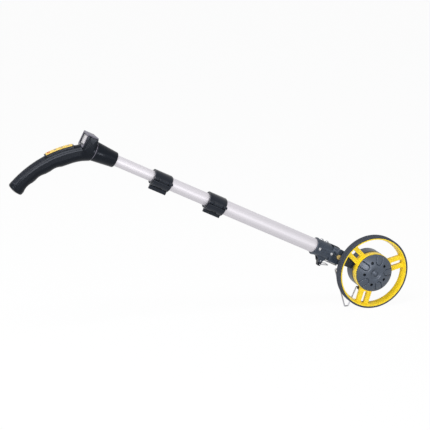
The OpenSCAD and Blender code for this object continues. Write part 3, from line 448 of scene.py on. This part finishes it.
def ribbed_pad():
    """Ribbed band on top of the grip: the crown along the bend, less a rounded groove between ribs that fades
    out at the band's sides and ends, closed along the flat seat below."""
    rib, rib_steps, end_ribs = 2.2, 8, 1.2
    groove_depth, fade_start, fade_end = 0.9, 9.6, 11.6
    seat_gap = 0.05
    pitch = math.degrees(rib / GRIP_BEND)
    angle = np.arange(CAP_PLANE + HAIR, PAD_END, pitch / rib_steps)[:, None]
    v = CROWN_HALF * np.sin(np.linspace(-1, 1, 41) * math.pi / 2)
    wave = 0.5 - 0.5 * np.cos(2 * math.pi * (angle - CAP_PLANE) / pitch)
    ends = smooth_step(0, end_ribs * pitch, np.minimum(angle - CAP_PLANE, PAD_END - angle))
    groove = groove_depth * wave ** 2 * ends * (1 - smooth_step(fade_start, fade_end, np.abs(v)))
    seat = np.linspace(CROWN_HALF, -CROWN_HALF, 8)[1:-1]
    seat_r = 0 * angle + RIDGE_R + seat_gap + 0 * seat
    r = np.concatenate([arc(GRIP_BEND, CROWN_R, v) - groove, seat_r], 1)
    return skin(on_grip(r, angle, np.concatenate([v, seat])))


def butt_cap():
    """Cap that closes the butt: the grip's whole section at the cap's plane runs straight back, rounds over
    and closes on a ball that touches the butt's plane; each row is the section, shrunk towards its
    middle."""
    edge, ball_r, most_shrink = 4.5, 34, 17
    middle = GRIP_BEND - GRIP_H / 2
    plane = CAP_PLANE - HAIR
    r, half = (v[0] for v in grip_section(np.array([plane]), np.array([True])))
    r, v = np.concatenate([r, r[-2:0:-1]]), np.concatenate([-half, half[-2:0:-1]])
    out, down = (leg[1:] for leg in quarter(7))
    face_shrink = np.linspace(edge, most_shrink, 12)[1:]
    shrink = np.concatenate([np.zeros(4), edge * down, face_shrink])[:, None]
    full = np.hypot(r - middle, v)
    scale = np.clip(1 - shrink / full, 0, 1)
    depth = math.radians(plane - BUTT_PLANE) * middle
    turn_in = depth + arc(0, ball_r, full - edge) - edge
    straight = np.linspace(0, 1, 4)[:, None] * turn_in
    corner = turn_in + edge * out[:, None]
    face = depth + arc(0, ball_r, full * scale[-len(face_shrink):])
    angle = plane - np.degrees(np.concatenate([straight, corner, face]) / middle)
    return skin(on_grip(middle + (r - middle) * scale, angle, v * scale))


def control_band():
    """Yellow strip: a thin bar along the bend with rounded corners and a rounded upper edge."""
    foot, thick, edge = 0.05, 1.6, 0.5
    angle, half = bar_on_bend(first=39.9, last=54.4, count=70, half=6.5, corner=2)
    out, down = quarter(5)
    level = np.concatenate([[foot], thick - edge + edge * out])
    across = half - np.concatenate([[0], edge * down])
    radius = PLINTH_TOP + np.concatenate([level, level[::-1]])
    return skin(on_grip(radius, angle, np.concatenate([across, -across[:, ::-1]], 1)))


def window_ring(outer, inner, section):
    """A section carried round the display's window: each of its points lies a share of the way from the outer
    to the inner loop, and some way in front of the box's face."""
    share, reach = (np.array(v)[:, None] for v in zip(*section))
    loops = outer * (1 - share[..., None]) + inner * share[..., None]
    return skin(across_shaft(loops, BOX_FACE + reach), ring=True)


def display_frame():
    """Grey display surround: a flat-faced section with rounded edges, carried round the window, and a hood
    plate on top of the box."""
    outer = rounded_loop((-0.8, -18.8), (28.4, 18.8), 2.2)
    inner = rounded_loop((3.0, -15.6), (24.6, 15.6), 1.2)
    section = ((0, 0), (0, 3.5), (0.04, 4.2), (0.13, 4.42), (0.27, 4.5),
               (0.7, 4.5), (0.86, 4.4), (0.96, 4), (1, 3.3), (1, 0))
    hood_start, hood_stop = SEAM_S + 6, BOX_FACE + 3.9
    hood_floor, hood_top, hood_edge = 25.4, 28.5, 0.9
    hood = rounded_loop((hood_start, hood_floor), (hood_stop, hood_top), (0.6, 1.6, 0.3, 0.3))
    return [window_ring(outer, inner, section),
            padded_plate(hood, -BOX_HALF, BOX_HALF, hood_edge, beside_shaft)]


def display_liner():
    """Dark liner of the display's opening, black like the handle and dark also as painted shade on the
    recess walls: a thin wall carried round the window, from the panel to just inside the frame."""
    outer = rounded_loop((2.9, -15.7), (24.7, 15.7), 1.2)
    inner = rounded_loop((4.2, -14.4), (23.4, 14.4), 0.8)
    section = ((0, 0.2), (0, 3.3), (0.15, 3.6), (0.85, 3.6), (1, 3.4), (1, 0.2))
    return window_ring(outer, inner, section)


def lcd_face():
    """Display panel: a plate across the shaft with a fine rounded edge, a little larger than the opening in
    front of it."""
    back, front, edge = BOX_FACE - 0.9, BOX_FACE + 0.8, 0.3
    outline = rounded_loop((2.8, -17.2), (24.8, 17.2), 0.8)
    return padded_plate(outline, back, front, edge, across_shaft)


def round_tube(s, r):
    """A section of places along the tubes and radii about them, carried round the tubes."""
    turn = whole_turn(120)[:, None]
    return skin(on_shaft(s + 0 * turn, r * np.cos(turn), r * np.sin(turn)), ring=True)


def tube_collar():
    """Collar between tube and handle: a section that widens along the tube from a rounded lip to a chamfer at
    the seam and closes along the bore, carried round the tube."""
    length, bore = 48, 11.4
    lip_r, lip_round = 15.85, 1.2
    widening = [(24, 17.95), (46.1, 19.96)]
    chamfer = [(46.25, 19.9), (47.9, 18.3), (length, 18.1)]
    s, r = np.transpose(widening + chamfer + [(length, bore), (0, bore)])
    out, down = (leg[::-1] for leg in quarter(6))
    s = np.concatenate([lip_round * (1 - out), s])
    return round_tube(SEAM_S - length + s, np.concatenate([lip_r - lip_round * down, r]))


def seam_bead():
    """Mauve-grey bead, a light line in the seam between collar and neck: a circle carried round the tube."""
    bead_r, seat_r, seat_s = 0.9, 18.95, SEAM_S + 0.1
    turn = whole_turn(16)
    return round_tube(seat_s + bead_r * np.sin(turn), seat_r + bead_r * np.cos(turn))


# Clamp pieces

def clamp_rails(start, radius, spans, drop=0.0, out=0.0, tall=2.8):
    """Flat-faced rails along a tube clamp, each a plate between two places along it that leans back. They lie
    on the hinge barrel, or lower and further out by the given distances."""
    lean, corner, edge = math.radians(12), 0.5, 0.3
    base, face = 1.6, 3.1  # distances out from the barrel's axis
    barrel_h, barrel_y = 1.0, -(radius + 2.2)

    def place(loop, level):
        h = barrel_h - drop + loop[..., 1] * math.cos(lean) + level * math.sin(lean)
        y = barrel_y - out + loop[..., 1] * math.sin(lean) - level * math.cos(lean)
        return on_shaft(loop[..., 0], h, y)

    loops = [rounded_loop((start + a, -tall / 2), (start + b, tall / 2), corner) for a, b in spans]
    return [padded_plate(loop, base, face, edge, place) for loop in loops]


# Copies of solids with rounded edges

def read(items, field, width=1):
    """One field of all the items of a mesh as an array."""
    values = np.empty(len(items) * width, int if field in ("vertices", "loop_total", "edge_index") else float)
    items.foreach_get(field, values)
    return values.reshape(-1, width) if width > 1 else values


def edges_to_round(mesh):
    """True for each edge whose two faces turn by more than the sharp angle, but for those that meet another
    such edge at a glancing angle, where a rounding would run off along it. The faces' corners are sorted by
    edge, so that an edge's faces are neighbours, and then the edges' ends by vertex, each of which is
    compared with the next few."""
    sharp, glancing, neighbours = math.radians(30), math.radians(30), 5
    ends, normal = read(mesh.edges, "vertices", 2), read(mesh.polygons, "normal", 3)
    owner = np.repeat(np.arange(len(mesh.polygons)), read(mesh.polygons, "loop_total"))
    edge_of = read(mesh.loops, "edge_index")
    order = np.argsort(edge_of, kind="stable")
    facing, edge = normal[owner[order]], edge_of[order]
    bent = (facing[1:] * facing[:-1]).sum(1) < math.cos(sharp)
    turns = np.zeros(len(ends), bool)
    turns[edge[1:][bent & (edge[1:] == edge[:-1])]] = True
    turns &= np.bincount(edge_of, minlength=len(ends)) == 2

    corner = read(mesh.vertices, "co", 3)[ends]
    along = corner[:, 1] - corner[:, 0]
    along /= np.linalg.norm(along, axis=1)[:, None]
    at, way = np.concatenate([ends[turns, 0], ends[turns, 1]]), np.concatenate([along[turns], -along[turns]])
    order = np.argsort(at, kind="stable")
    at, way, edge = at[order], way[order], np.tile(np.where(turns)[0], 2)[order]
    for step in range(1, neighbours + 1):
        close = (way[step:] * way[:-step]).sum(1) > math.cos(glancing)
        close &= at[step:] == at[:-step]
        turns[edge[step:][close]] = turns[edge[:-step][close]] = False
    return turns


def softened(name, node, body, finish, width_mm):
    """A merged copy of a solid: its flat faces are joined again from their triangles, concave faces are
    split, and each sharp edge is rounded off."""
    flat = math.radians(0.5)
    work = bmesh.new()
    work.from_mesh(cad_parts[node].data)
    bmesh.ops.remove_doubles(work, verts=work.verts, dist=2e-6)
    bmesh.ops.dissolve_limit(work, angle_limit=flat, verts=work.verts, edges=work.edges)
    bmesh.ops.connect_verts_concave(work, faces=work.faces)
    work.verts.index_update()
    points = [v.co for v in work.verts]
    faces = [[v.index for v in face.verts] for face in work.faces]
    mesh = bpy.data.meshes.new(name)
    mesh.from_pydata(points, [], faces)
    work.free()
    piece = add_object(name, mesh, finish)
    weight = mesh.attributes.new("bevel_weight_edge", "FLOAT", "EDGE")
    weight.data.foreach_set("value", edges_to_round(mesh).astype(np.float32))
    rounding = piece.modifiers.new("rounded_edges", "BEVEL")
    rounding.width, rounding.segments = width_mm * MM, 2
    rounding.limit_method = "WEIGHT"
    rounding.use_clamp_overlap, rounding.harden_normals = False, True
    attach(piece, body)
    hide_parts(node)


# Finishes

def linear(hex_colour):
    """Linear RGBA of an sRGB hex colour."""
    parts = [int(hex_colour[i:i + 2], 16) / 255 for i in (1, 3, 5)]
    return [p / 12.92 if p <= 0.04045 else ((p + 0.055) / 1.055) ** 2.4 for p in parts] + [1.0]


def add(tree, kind, sockets=(), **settings):
    """Adds one node: settings are its properties, sockets its input values or the outputs linked to them."""
    made = tree.nodes.new(kind)
    for name, value in settings.items():
        setattr(made, name, value)
    for name, value in dict(sockets).items():
        if isinstance(value, bpy.types.NodeSocket):
            tree.links.new(value, made.inputs[name])
        else:
            made.inputs[name].default_value = value
    return made


def new_finish(name):
    """An empty material, its node tree and its object coordinates, in metres."""
    finish = bpy.data.materials.new(name)
    finish.use_nodes = True
    tree = finish.node_tree
    tree.nodes.clear()
    return finish, tree, add(tree, "ShaderNodeTexCoord").outputs["Object"]


def patterned(tree, colours, cloud, grain, roughness, relief, height_mm, edge_mm):
    """Shader inputs of a surface: one pattern mixes its two colours, another gives its roughness, within the
    two given, and its relief, and its edges look rounded a little."""
    colour, shade = (linear(c) for c in colours)
    tint = add(tree, "ShaderNodeMix", {"Factor": cloud, "A": shade, "B": colour}, data_type="RGBA")
    smoothest, roughest = roughness
    rough = add(tree, "ShaderNodeMapRange", {"Value": grain, "To Min": smoothest, "To Max": roughest})
    soft = add(tree, "ShaderNodeBevel", {"Radius": edge_mm * MM}, samples=4)
    bump = add(tree, "ShaderNodeBump", {"Height": grain, "Strength": relief, "Distance": height_mm * MM,
                                        "Normal": soft.outputs["Normal"]})
    return {"Base Color": tint.outputs["Result"], "Roughness": rough.outputs["Result"],
            "Normal": bump.outputs["Normal"]}


def moulded(name, colour, shade, roughness, grain_mm=0.5, relief=0.12, gloss=0.5, sheen="#ffffff"):
    """Moulded, pressed or coated surface: fine grain breaks up its sheen, and faint cloudy flow marks lie in
    its colour. Real grain is a tenth of a millimetre or less, and is drawn coarser so that it shows. A coarse
    grain leaves less gloss, and the sheen of a dark pigment can be a little blue."""
    flow_mark_mm, grain_height_mm, edge_mm = 18, 0.1, 0.5
    spread, ior = 0.07, 1.52
    finish, tree, place = new_finish(name)
    cloud = add(tree, "ShaderNodeTexNoise", {"Vector": place, "Scale": 1 / (flow_mark_mm * MM),
                                             "Detail": 3.0})
    grain = add(tree, "ShaderNodeTexNoise", {"Vector": place, "Scale": 1 / (grain_mm * MM), "Detail": 2.0})
    inputs = patterned(tree, (colour, shade), cloud.outputs["Fac"], grain.outputs["Fac"],
                       (roughness - spread, roughness + spread), relief, grain_height_mm, edge_mm)
    shader = add(tree, "ShaderNodeBsdfPrincipled", {**inputs, "IOR": ior, "Specular IOR Level": gloss,
                                                    "Specular Tint": linear(sheen)})
    add(tree, "ShaderNodeOutputMaterial", {"Surface": shader.outputs["BSDF"]})
    return finish


def drawn_metal(name, colour, shade, roughness, along_tubes=False, line_mm=0.6, edge_mm=0.3):
    """Drawn, turned or plated metal: fine marks break up its highlight, into streaks where they run along the
    tubes. Real marks are finer than a tenth of a millimetre, and are drawn coarser so that they show."""
    stretch, line_height_mm = 0.012, 0.05
    relief, spread = 0.06, 0.06
    finish, tree, place = new_finish(name)
    if along_tubes:
        turned = add(tree, "ShaderNodeMapping", {"Vector": place, "Rotation": (0.0, math.pi - SLOPE, 0.0)})
        place = add(tree, "ShaderNodeMapping", {"Vector": turned.outputs["Vector"],
                                                "Scale": (stretch, 1.0, 1.0)}).outputs["Vector"]
    lines = add(tree, "ShaderNodeTexNoise", {"Vector": place, "Scale": 1 / (line_mm * MM), "Detail": 3.0})
    inputs = patterned(tree, (colour, shade), lines.outputs["Fac"], lines.outputs["Fac"],
                       (roughness - spread, roughness + spread), relief, line_height_mm, edge_mm)
    shader = add(tree, "ShaderNodeBsdfPrincipled", {**inputs, "Metallic": 1.0})
    add(tree, "ShaderNodeOutputMaterial", {"Surface": shader.outputs["BSDF"]})
    return finish


def clear_acrylic():
    """Cast acrylic, polished: nearly all light passes, and a thin even gloss lies on the face."""
    haze_mm, opacity = 3, 0.12
    finish, tree, place = new_finish("clear_acrylic")
    haze = add(tree, "ShaderNodeTexNoise", {"Vector": place, "Scale": 1 / (haze_mm * MM), "Detail": 2.0})
    rough = add(tree, "ShaderNodeMapRange", {"Value": haze.outputs["Fac"], "To Min": 0.05, "To Max": 0.12})
    shader = add(tree, "ShaderNodeBsdfPrincipled", {"Base Color": linear("#eef0f0"), "Alpha": opacity,
                                                    "Roughness": rough.outputs["Result"]})
    add(tree, "ShaderNodeOutputMaterial", {"Surface": shader.outputs["BSDF"]})
    return finish


BLUE_SHEEN = "#eaf0ff"
# Black ABS of the handle and small mouldings: dark faces with a weak, slightly blue sheen
black_abs = moulded("moulded_black_abs", "#0b1017", "#060a10", 0.26, gloss=0.17, sheen=BLUE_SHEEN)
# Black ABS from a polished mould: the clamps' flat faces catch a clear highlight
clamp_abs = moulded("moulded_gloss_black_abs", "#0c131d", "#080d15", 0.18, relief=0.02, gloss=0.32,
                    sheen=BLUE_SHEEN)
# Blue-black ABS of the fold: lighter than the handle, with a broad soft sheen
socket_abs = moulded("moulded_blue_black_abs", "#343c47", "#2b323c", 0.34, gloss=0.4, sheen=BLUE_SHEEN)
# Yellow ABS of the wheel: a clear bright face with little grain
yellow_abs = moulded("moulded_yellow_abs", "#f8da2e", "#f0cf24", 0.36, relief=0.06, gloss=0.3)
# Slate ABS of the hub cover: a strong gloss that brings out its relief
slate_abs = moulded("moulded_slate_abs", "#2b3643", "#232d38", 0.36, relief=0.06, gloss=1.0, sheen=BLUE_SHEEN)
# Mauve-grey ABS round the display: an even, rather dull face
mauve_abs = moulded("moulded_mauve_grey_abs", "#706d79", "#64616d", 0.42, gloss=0.3)
# Moulded keys: satin, one red and three grey
red_key = moulded("moulded_red_key", "#c9402a", "#b93722", 0.4)
grey_key = moulded("moulded_grey_key", "#8b8a90", "#7f7e85", 0.45)
# Printed film of the control strip: smooth and nearly matt
tan_strip = moulded("printed_tan_film", "#e4c56a", "#dab95c", 0.45, relief=0.04, gloss=0.25)
# Vulcanised rubber of the tyre: a coarse grain and hardly any sheen
tyre_rubber = moulded("vulcanised_rubber", "#434851", "#373b43", 0.66, grain_mm=0.9, relief=0.25, gloss=0.2)
# Moulded rubber of the grip pad: dull, so that light shows only on the ribs
ribbed_rubber = moulded("grip_rubber", "#191e28", "#12161f", 0.5, grain_mm=0.7, relief=0.2, gloss=0.24)
# Pressed ferrite in a binder: a dull black
magnet_ferrite = moulded("bonded_ferrite", "#1c1c1f", "#151517", 0.6)
# Laminate under green solder mask: smooth, with some gloss
solder_mask = moulded("solder_mask_laminate", "#2c6b46", "#225a39", 0.35)
# Shrunk film round the cells: a smooth grey with some gloss
cell_jacket = moulded("cell_jacket_film", "#74767a", "#6a6c70", 0.3)
# Liquid crystal under a polarising film: a pale, smooth, even grey
lcd_glass = moulded("liquid_crystal_face", "#d3cdd1", "#cac4c8", 0.25, relief=0.02, gloss=0.2)
# Steel with a black oxide skin: dark, with a weak satin sheen
black_oxide = moulded("black_oxide_steel", "#101214", "#0b0c0e", 0.4, gloss=0.3)
# Drawn aluminium with a satin anodised skin: a broad pale highlight with faint streaks along the tubes
tube_aluminium = drawn_metal("drawn_anodised_aluminium", "#d8d5da", "#cbc8cd", 0.56, along_tubes=True,
                             line_mm=2.2)
# Zinc-plated steel of pins and screws: a mid grey with a fairly clear highlight
zinc_steel = drawn_metal("zinc_plated_steel", "#a8a9ad", "#97989c", 0.34, edge_mm=0.1)
# Turned brass: a warm, broad highlight
turned_brass = drawn_metal("turned_brass", "#ecd28a", "#dcbd76", 0.5)
# Drawn zinc-plated wire with a clear highlight, painted a lighter grey than the pins' zinc
# Its lighter grey is painted light, against the dark tyre and the shade that the wire reflects
zinc_wire_painted_light = drawn_metal("zinc_wire_painted_lighter", "#b6b6bb", "#a9a9ae", 0.3, edge_mm=0.1)
window_clear = clear_acrylic()

node_finish = {
    socket_abs: ("fold_socket", "hub_housing", "housing_cover"),
    black_abs: ("latch_lever", "lower_clamp", "lower_clamp_lever",
                "middle_bush", "upper_clamp", "upper_clamp_lever", "upper_bush", "handle_collar",
                "handle_shell_near", "handle_shell_far", "battery_cap"),
    yellow_abs: ("wheel",),
    tan_strip: ("control_strip",),
    slate_abs: ("hub_cover",),
    mauve_abs: ("display_bezel",),
    red_key: ("power_key",),
    grey_key: ("key_a", "key_b", "key_c"),
    tyre_rubber: ("tyre",),
    ribbed_rubber: ("grip_pad",),
    magnet_ferrite: ("magnet_ring",),
    solder_mask: ("sensor_board", "circuit_board"),
    cell_jacket: ("batteries",),
    lcd_glass: ("lcd_panel",),
    tube_aluminium: ("lower_tube", "middle_tube", "upper_tube"),
    black_oxide: ("hub_screws",),
    zinc_steel: ("front_bearing", "rear_bearing", "bearing_spacer", "housing_screws", "axle",
                 "axle_nut", "latch_pin", "latch_hook", "latch_bail", "lower_clamp_pin",
                 "upper_clamp_pin", "collar_screw", "handle_screws", "socket_rivets"),
    # The kickstand takes the zinc that is painted lighter, as painted light against the shade it reflects
    zinc_wire_painted_light: ("kickstand",),
    turned_brass: ("fold_pin",),
    window_clear: ("display_window",),
}
for finish, names in node_finish.items():
    for name in names:
        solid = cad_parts[name].data
        solid.materials.clear()
        solid.materials.append(finish)


# Pieces: most stand for a solid, and the liner, the clamps' rails and the seam's bead are added to them

shell_screws = [bend_place(GRIP_BEND - depth, angle) for depth, angle in ((14.25, 37), (21.25, 56))]
near_half = [grip_half(-1, []), *display_box_half(-1), strip_plinth_half(-1)]
far_half = [grip_half(1, shell_screws), *display_box_half(1), strip_plinth_half(1)]
make_piece("tyre_ring", [tyre_ring()], "wheel", tyre_rubber, "tyre")
make_piece("hub_lid", [hub_lid()], "wheel", slate_abs, "hub_cover")
make_piece("handle_half_near", near_half, "handle", black_abs, "handle_shell_near")
make_piece("handle_half_far", far_half, "handle", black_abs, "handle_shell_far")
# The liner's black stands partly for painted shade in the display's recess
make_piece("display_liner", [display_liner()], "handle", black_abs)
make_piece("ribbed_pad", [ribbed_pad()], "handle", ribbed_rubber, "grip_pad", sharp=50)
make_piece("butt_cap", [butt_cap()], "handle", black_abs, "battery_cap")
make_piece("control_band", [control_band()], "handle", tan_strip, "control_strip")
make_piece("display_frame", display_frame(), "handle", mauve_abs, "display_bezel")
softened("wheel_moulding", "wheel", "wheel", yellow_abs, 0.6)
softened("lower_clamp_soft", "lower_clamp", "shaft", clamp_abs, 0.5)
softened("lower_lever_soft", "lower_clamp_lever", "lower_lever", clamp_abs, 0.6)
softened("upper_clamp_soft", "upper_clamp", "middle", clamp_abs, 0.5)
softened("upper_lever_soft", "upper_clamp_lever", "upper_lever", clamp_abs, 0.6)

KNUCKLES = ((0.5, 8.5), (32.5, 40.5))  # of a clamp's hinge, along the clamp
LEVER_BARREL, LEVER_BLADE = (10, 31), (2, 39)  # of its lever: the part round the pin and the long edge
for name, start, radius, body in (("lower", 365, 17.75, "shaft"), ("upper", 493, 15.75, "middle")):
    hinge_faces = clamp_rails(start, radius, KNUCKLES)
    make_piece(name + "_hinge_faces", hinge_faces, body, clamp_abs)
    lever_rails = clamp_rails(start, radius, [LEVER_BARREL])
    lever_rails += clamp_rails(start, radius, [LEVER_BLADE], drop=6, out=-1.7, tall=2)
    make_piece(name + "_lever_rails", lever_rails, name + "_lever", clamp_abs)
softened("socket_soft", "fold_socket", "shaft", socket_abs, 0.6)
softened("housing_soft", "hub_housing", "arm", socket_abs, 0.5)
softened("latch_lever_soft", "latch_lever", "latch", black_abs, 0.5)
make_piece("lcd_face", [lcd_face()], "handle", lcd_glass, "lcd_panel")
make_piece("tube_collar", [tube_collar()], "handle", black_abs, "handle_collar")
make_piece("seam_bead", [seam_bead()], "handle", mauve_abs)


# Stage

def photo_camera():
    """The photograph's view: the azimuth, elevation, distance and lens that fit the wheel's outline and the
    tubes."""
    azimuth, elevation = math.radians(-18.77), math.radians(16.27)
    distance, to_left, to_top = 2.984, 0.33485, 0.1204
    photo_px, focal_px, sensor_mm = 430, 1400, 36
    back = Vector((math.sin(azimuth) * math.cos(elevation), -math.cos(azimuth) * math.cos(elevation),
                   math.sin(elevation)))
    right = Vector((math.cos(azimuth), math.sin(azimuth), 0))
    data = bpy.data.cameras.new("photo_camera")
    data.sensor_width, data.lens = sensor_mm, focal_px / photo_px * sensor_mm
    data.clip_end = 100
    camera = bpy.data.objects.new("photo_camera", data)
    camera.location = Vector(MM * HUB) + distance * back - to_left * right + to_top * back.cross(right)
    camera.rotation_euler = (-back).to_track_quat("-Z", "Y").to_euler()
    bpy.context.scene.collection.objects.link(camera)
    bpy.context.scene.camera = camera


def soft_box(name, place, aim, size, watts):
    """A studio soft box, wide and high, that faces a point."""
    data = bpy.data.lights.new(name, "AREA")
    data.shape, data.energy = "RECTANGLE", watts
    data.size, data.size_y = size
    lamp = bpy.data.objects.new(name, data)
    lamp.location = place
    lamp.rotation_euler = (Vector(aim) - Vector(place)).to_track_quat("-Z", "Y").to_euler()
    bpy.context.scene.collection.objects.link(lamp)


def seen_directly(tree):
    """1 for rays from the camera, from gloss and through glass, 0 for the light that falls on the object."""
    path = add(tree, "ShaderNodeLightPath")
    gloss = add(tree, "ShaderNodeMath", {0: path.outputs["Is Camera Ray"], 1: path.outputs["Is Glossy Ray"]},
                operation="MAXIMUM")
    return add(tree, "ShaderNodeMath", {0: gloss.outputs[0], 1: path.outputs["Is Transmission Ray"]},
               operation="MAXIMUM").outputs[0]


def white_surround():
    """A white surround: soft grey light on the object, and white where it is seen."""
    world = bpy.data.worlds.new("studio")
    bpy.context.scene.world = world
    world.use_nodes = True
    tree = world.node_tree
    tree.nodes.clear()
    light = add(tree, "ShaderNodeBackground", {"Color": linear("#eef1f6"), "Strength": 0.4})
    white = add(tree, "ShaderNodeBackground", {"Color": linear("#ffffff"), "Strength": 1.0})
    seen = seen_directly(tree)
    both = add(tree, "ShaderNodeMixShader", {0: seen, 1: light.outputs[0], 2: white.outputs[0]})
    add(tree, "ShaderNodeOutputWorld", {"Surface": both.outputs[0]})


def paper_floor():
    """A floor of white paper, a hair under the tyre: mostly plain white where it is seen, so that it shows
    only a trace of the shadow."""
    fibre_mm, plain_share = 40, 0.95
    reach, depth = 20.0, -0.0003
    paper, tree, place = new_finish("floor_paper")
    fibre = add(tree, "ShaderNodeTexNoise", {"Vector": place, "Scale": 1 / (fibre_mm * MM)})
    tint = add(tree, "ShaderNodeMix", {"Factor": fibre.outputs["Fac"], "A": linear("#fbfbfb"),
                                       "B": linear("#ffffff")}, data_type="RGBA")
    matt = add(tree, "ShaderNodeBsdfDiffuse", {"Color": tint.outputs["Result"]})
    white = add(tree, "ShaderNodeEmission", {"Color": linear("#ffffff"), "Strength": 1.0})
    share = add(tree, "ShaderNodeMath", {0: seen_directly(tree), 1: plain_share}, operation="MULTIPLY")
    both = add(tree, "ShaderNodeMixShader", {0: share.outputs[0], 1: matt.outputs[0], 2: white.outputs[0]})
    add(tree, "ShaderNodeOutputMaterial", {"Surface": both.outputs[0]})
    mesh = bpy.data.meshes.new("floor")
    corners = [(-reach, -reach, depth), (reach, -reach, depth), (reach, reach, depth), (-reach, reach, depth)]
    mesh.from_pydata(corners, [], [(0, 1, 2, 3)])
    add_object("floor", mesh, paper)


photo_camera()
white_surround()
paper_floor()
soft_box("key_light", (-1.5, -2.1, 1.5), (-0.35, 0, 0.25), (1.2, 1.2), 15.5)
soft_box("tube_light", (0.75, -2.3, 0.5), (-0.35, 0, 0.2), (1.7, 0.3), 2.5)
soft_box("ridge_light", (-1.25, -0.62, 2.1), (-1.25, 0.03, 0.33), (2.0, 0.6), 31)
soft_box("side_light", (-2.4, -0.9, 1.0), (-0.6, 0, 0.3), (0.6, 0.6), 9)
soft_box("hub_light", (-0.08, -2.3, 0.26), (0, 0, 0.1), (0.5, 0.3), 10)
bpy.context.scene.view_settings.view_transform = "Standard"
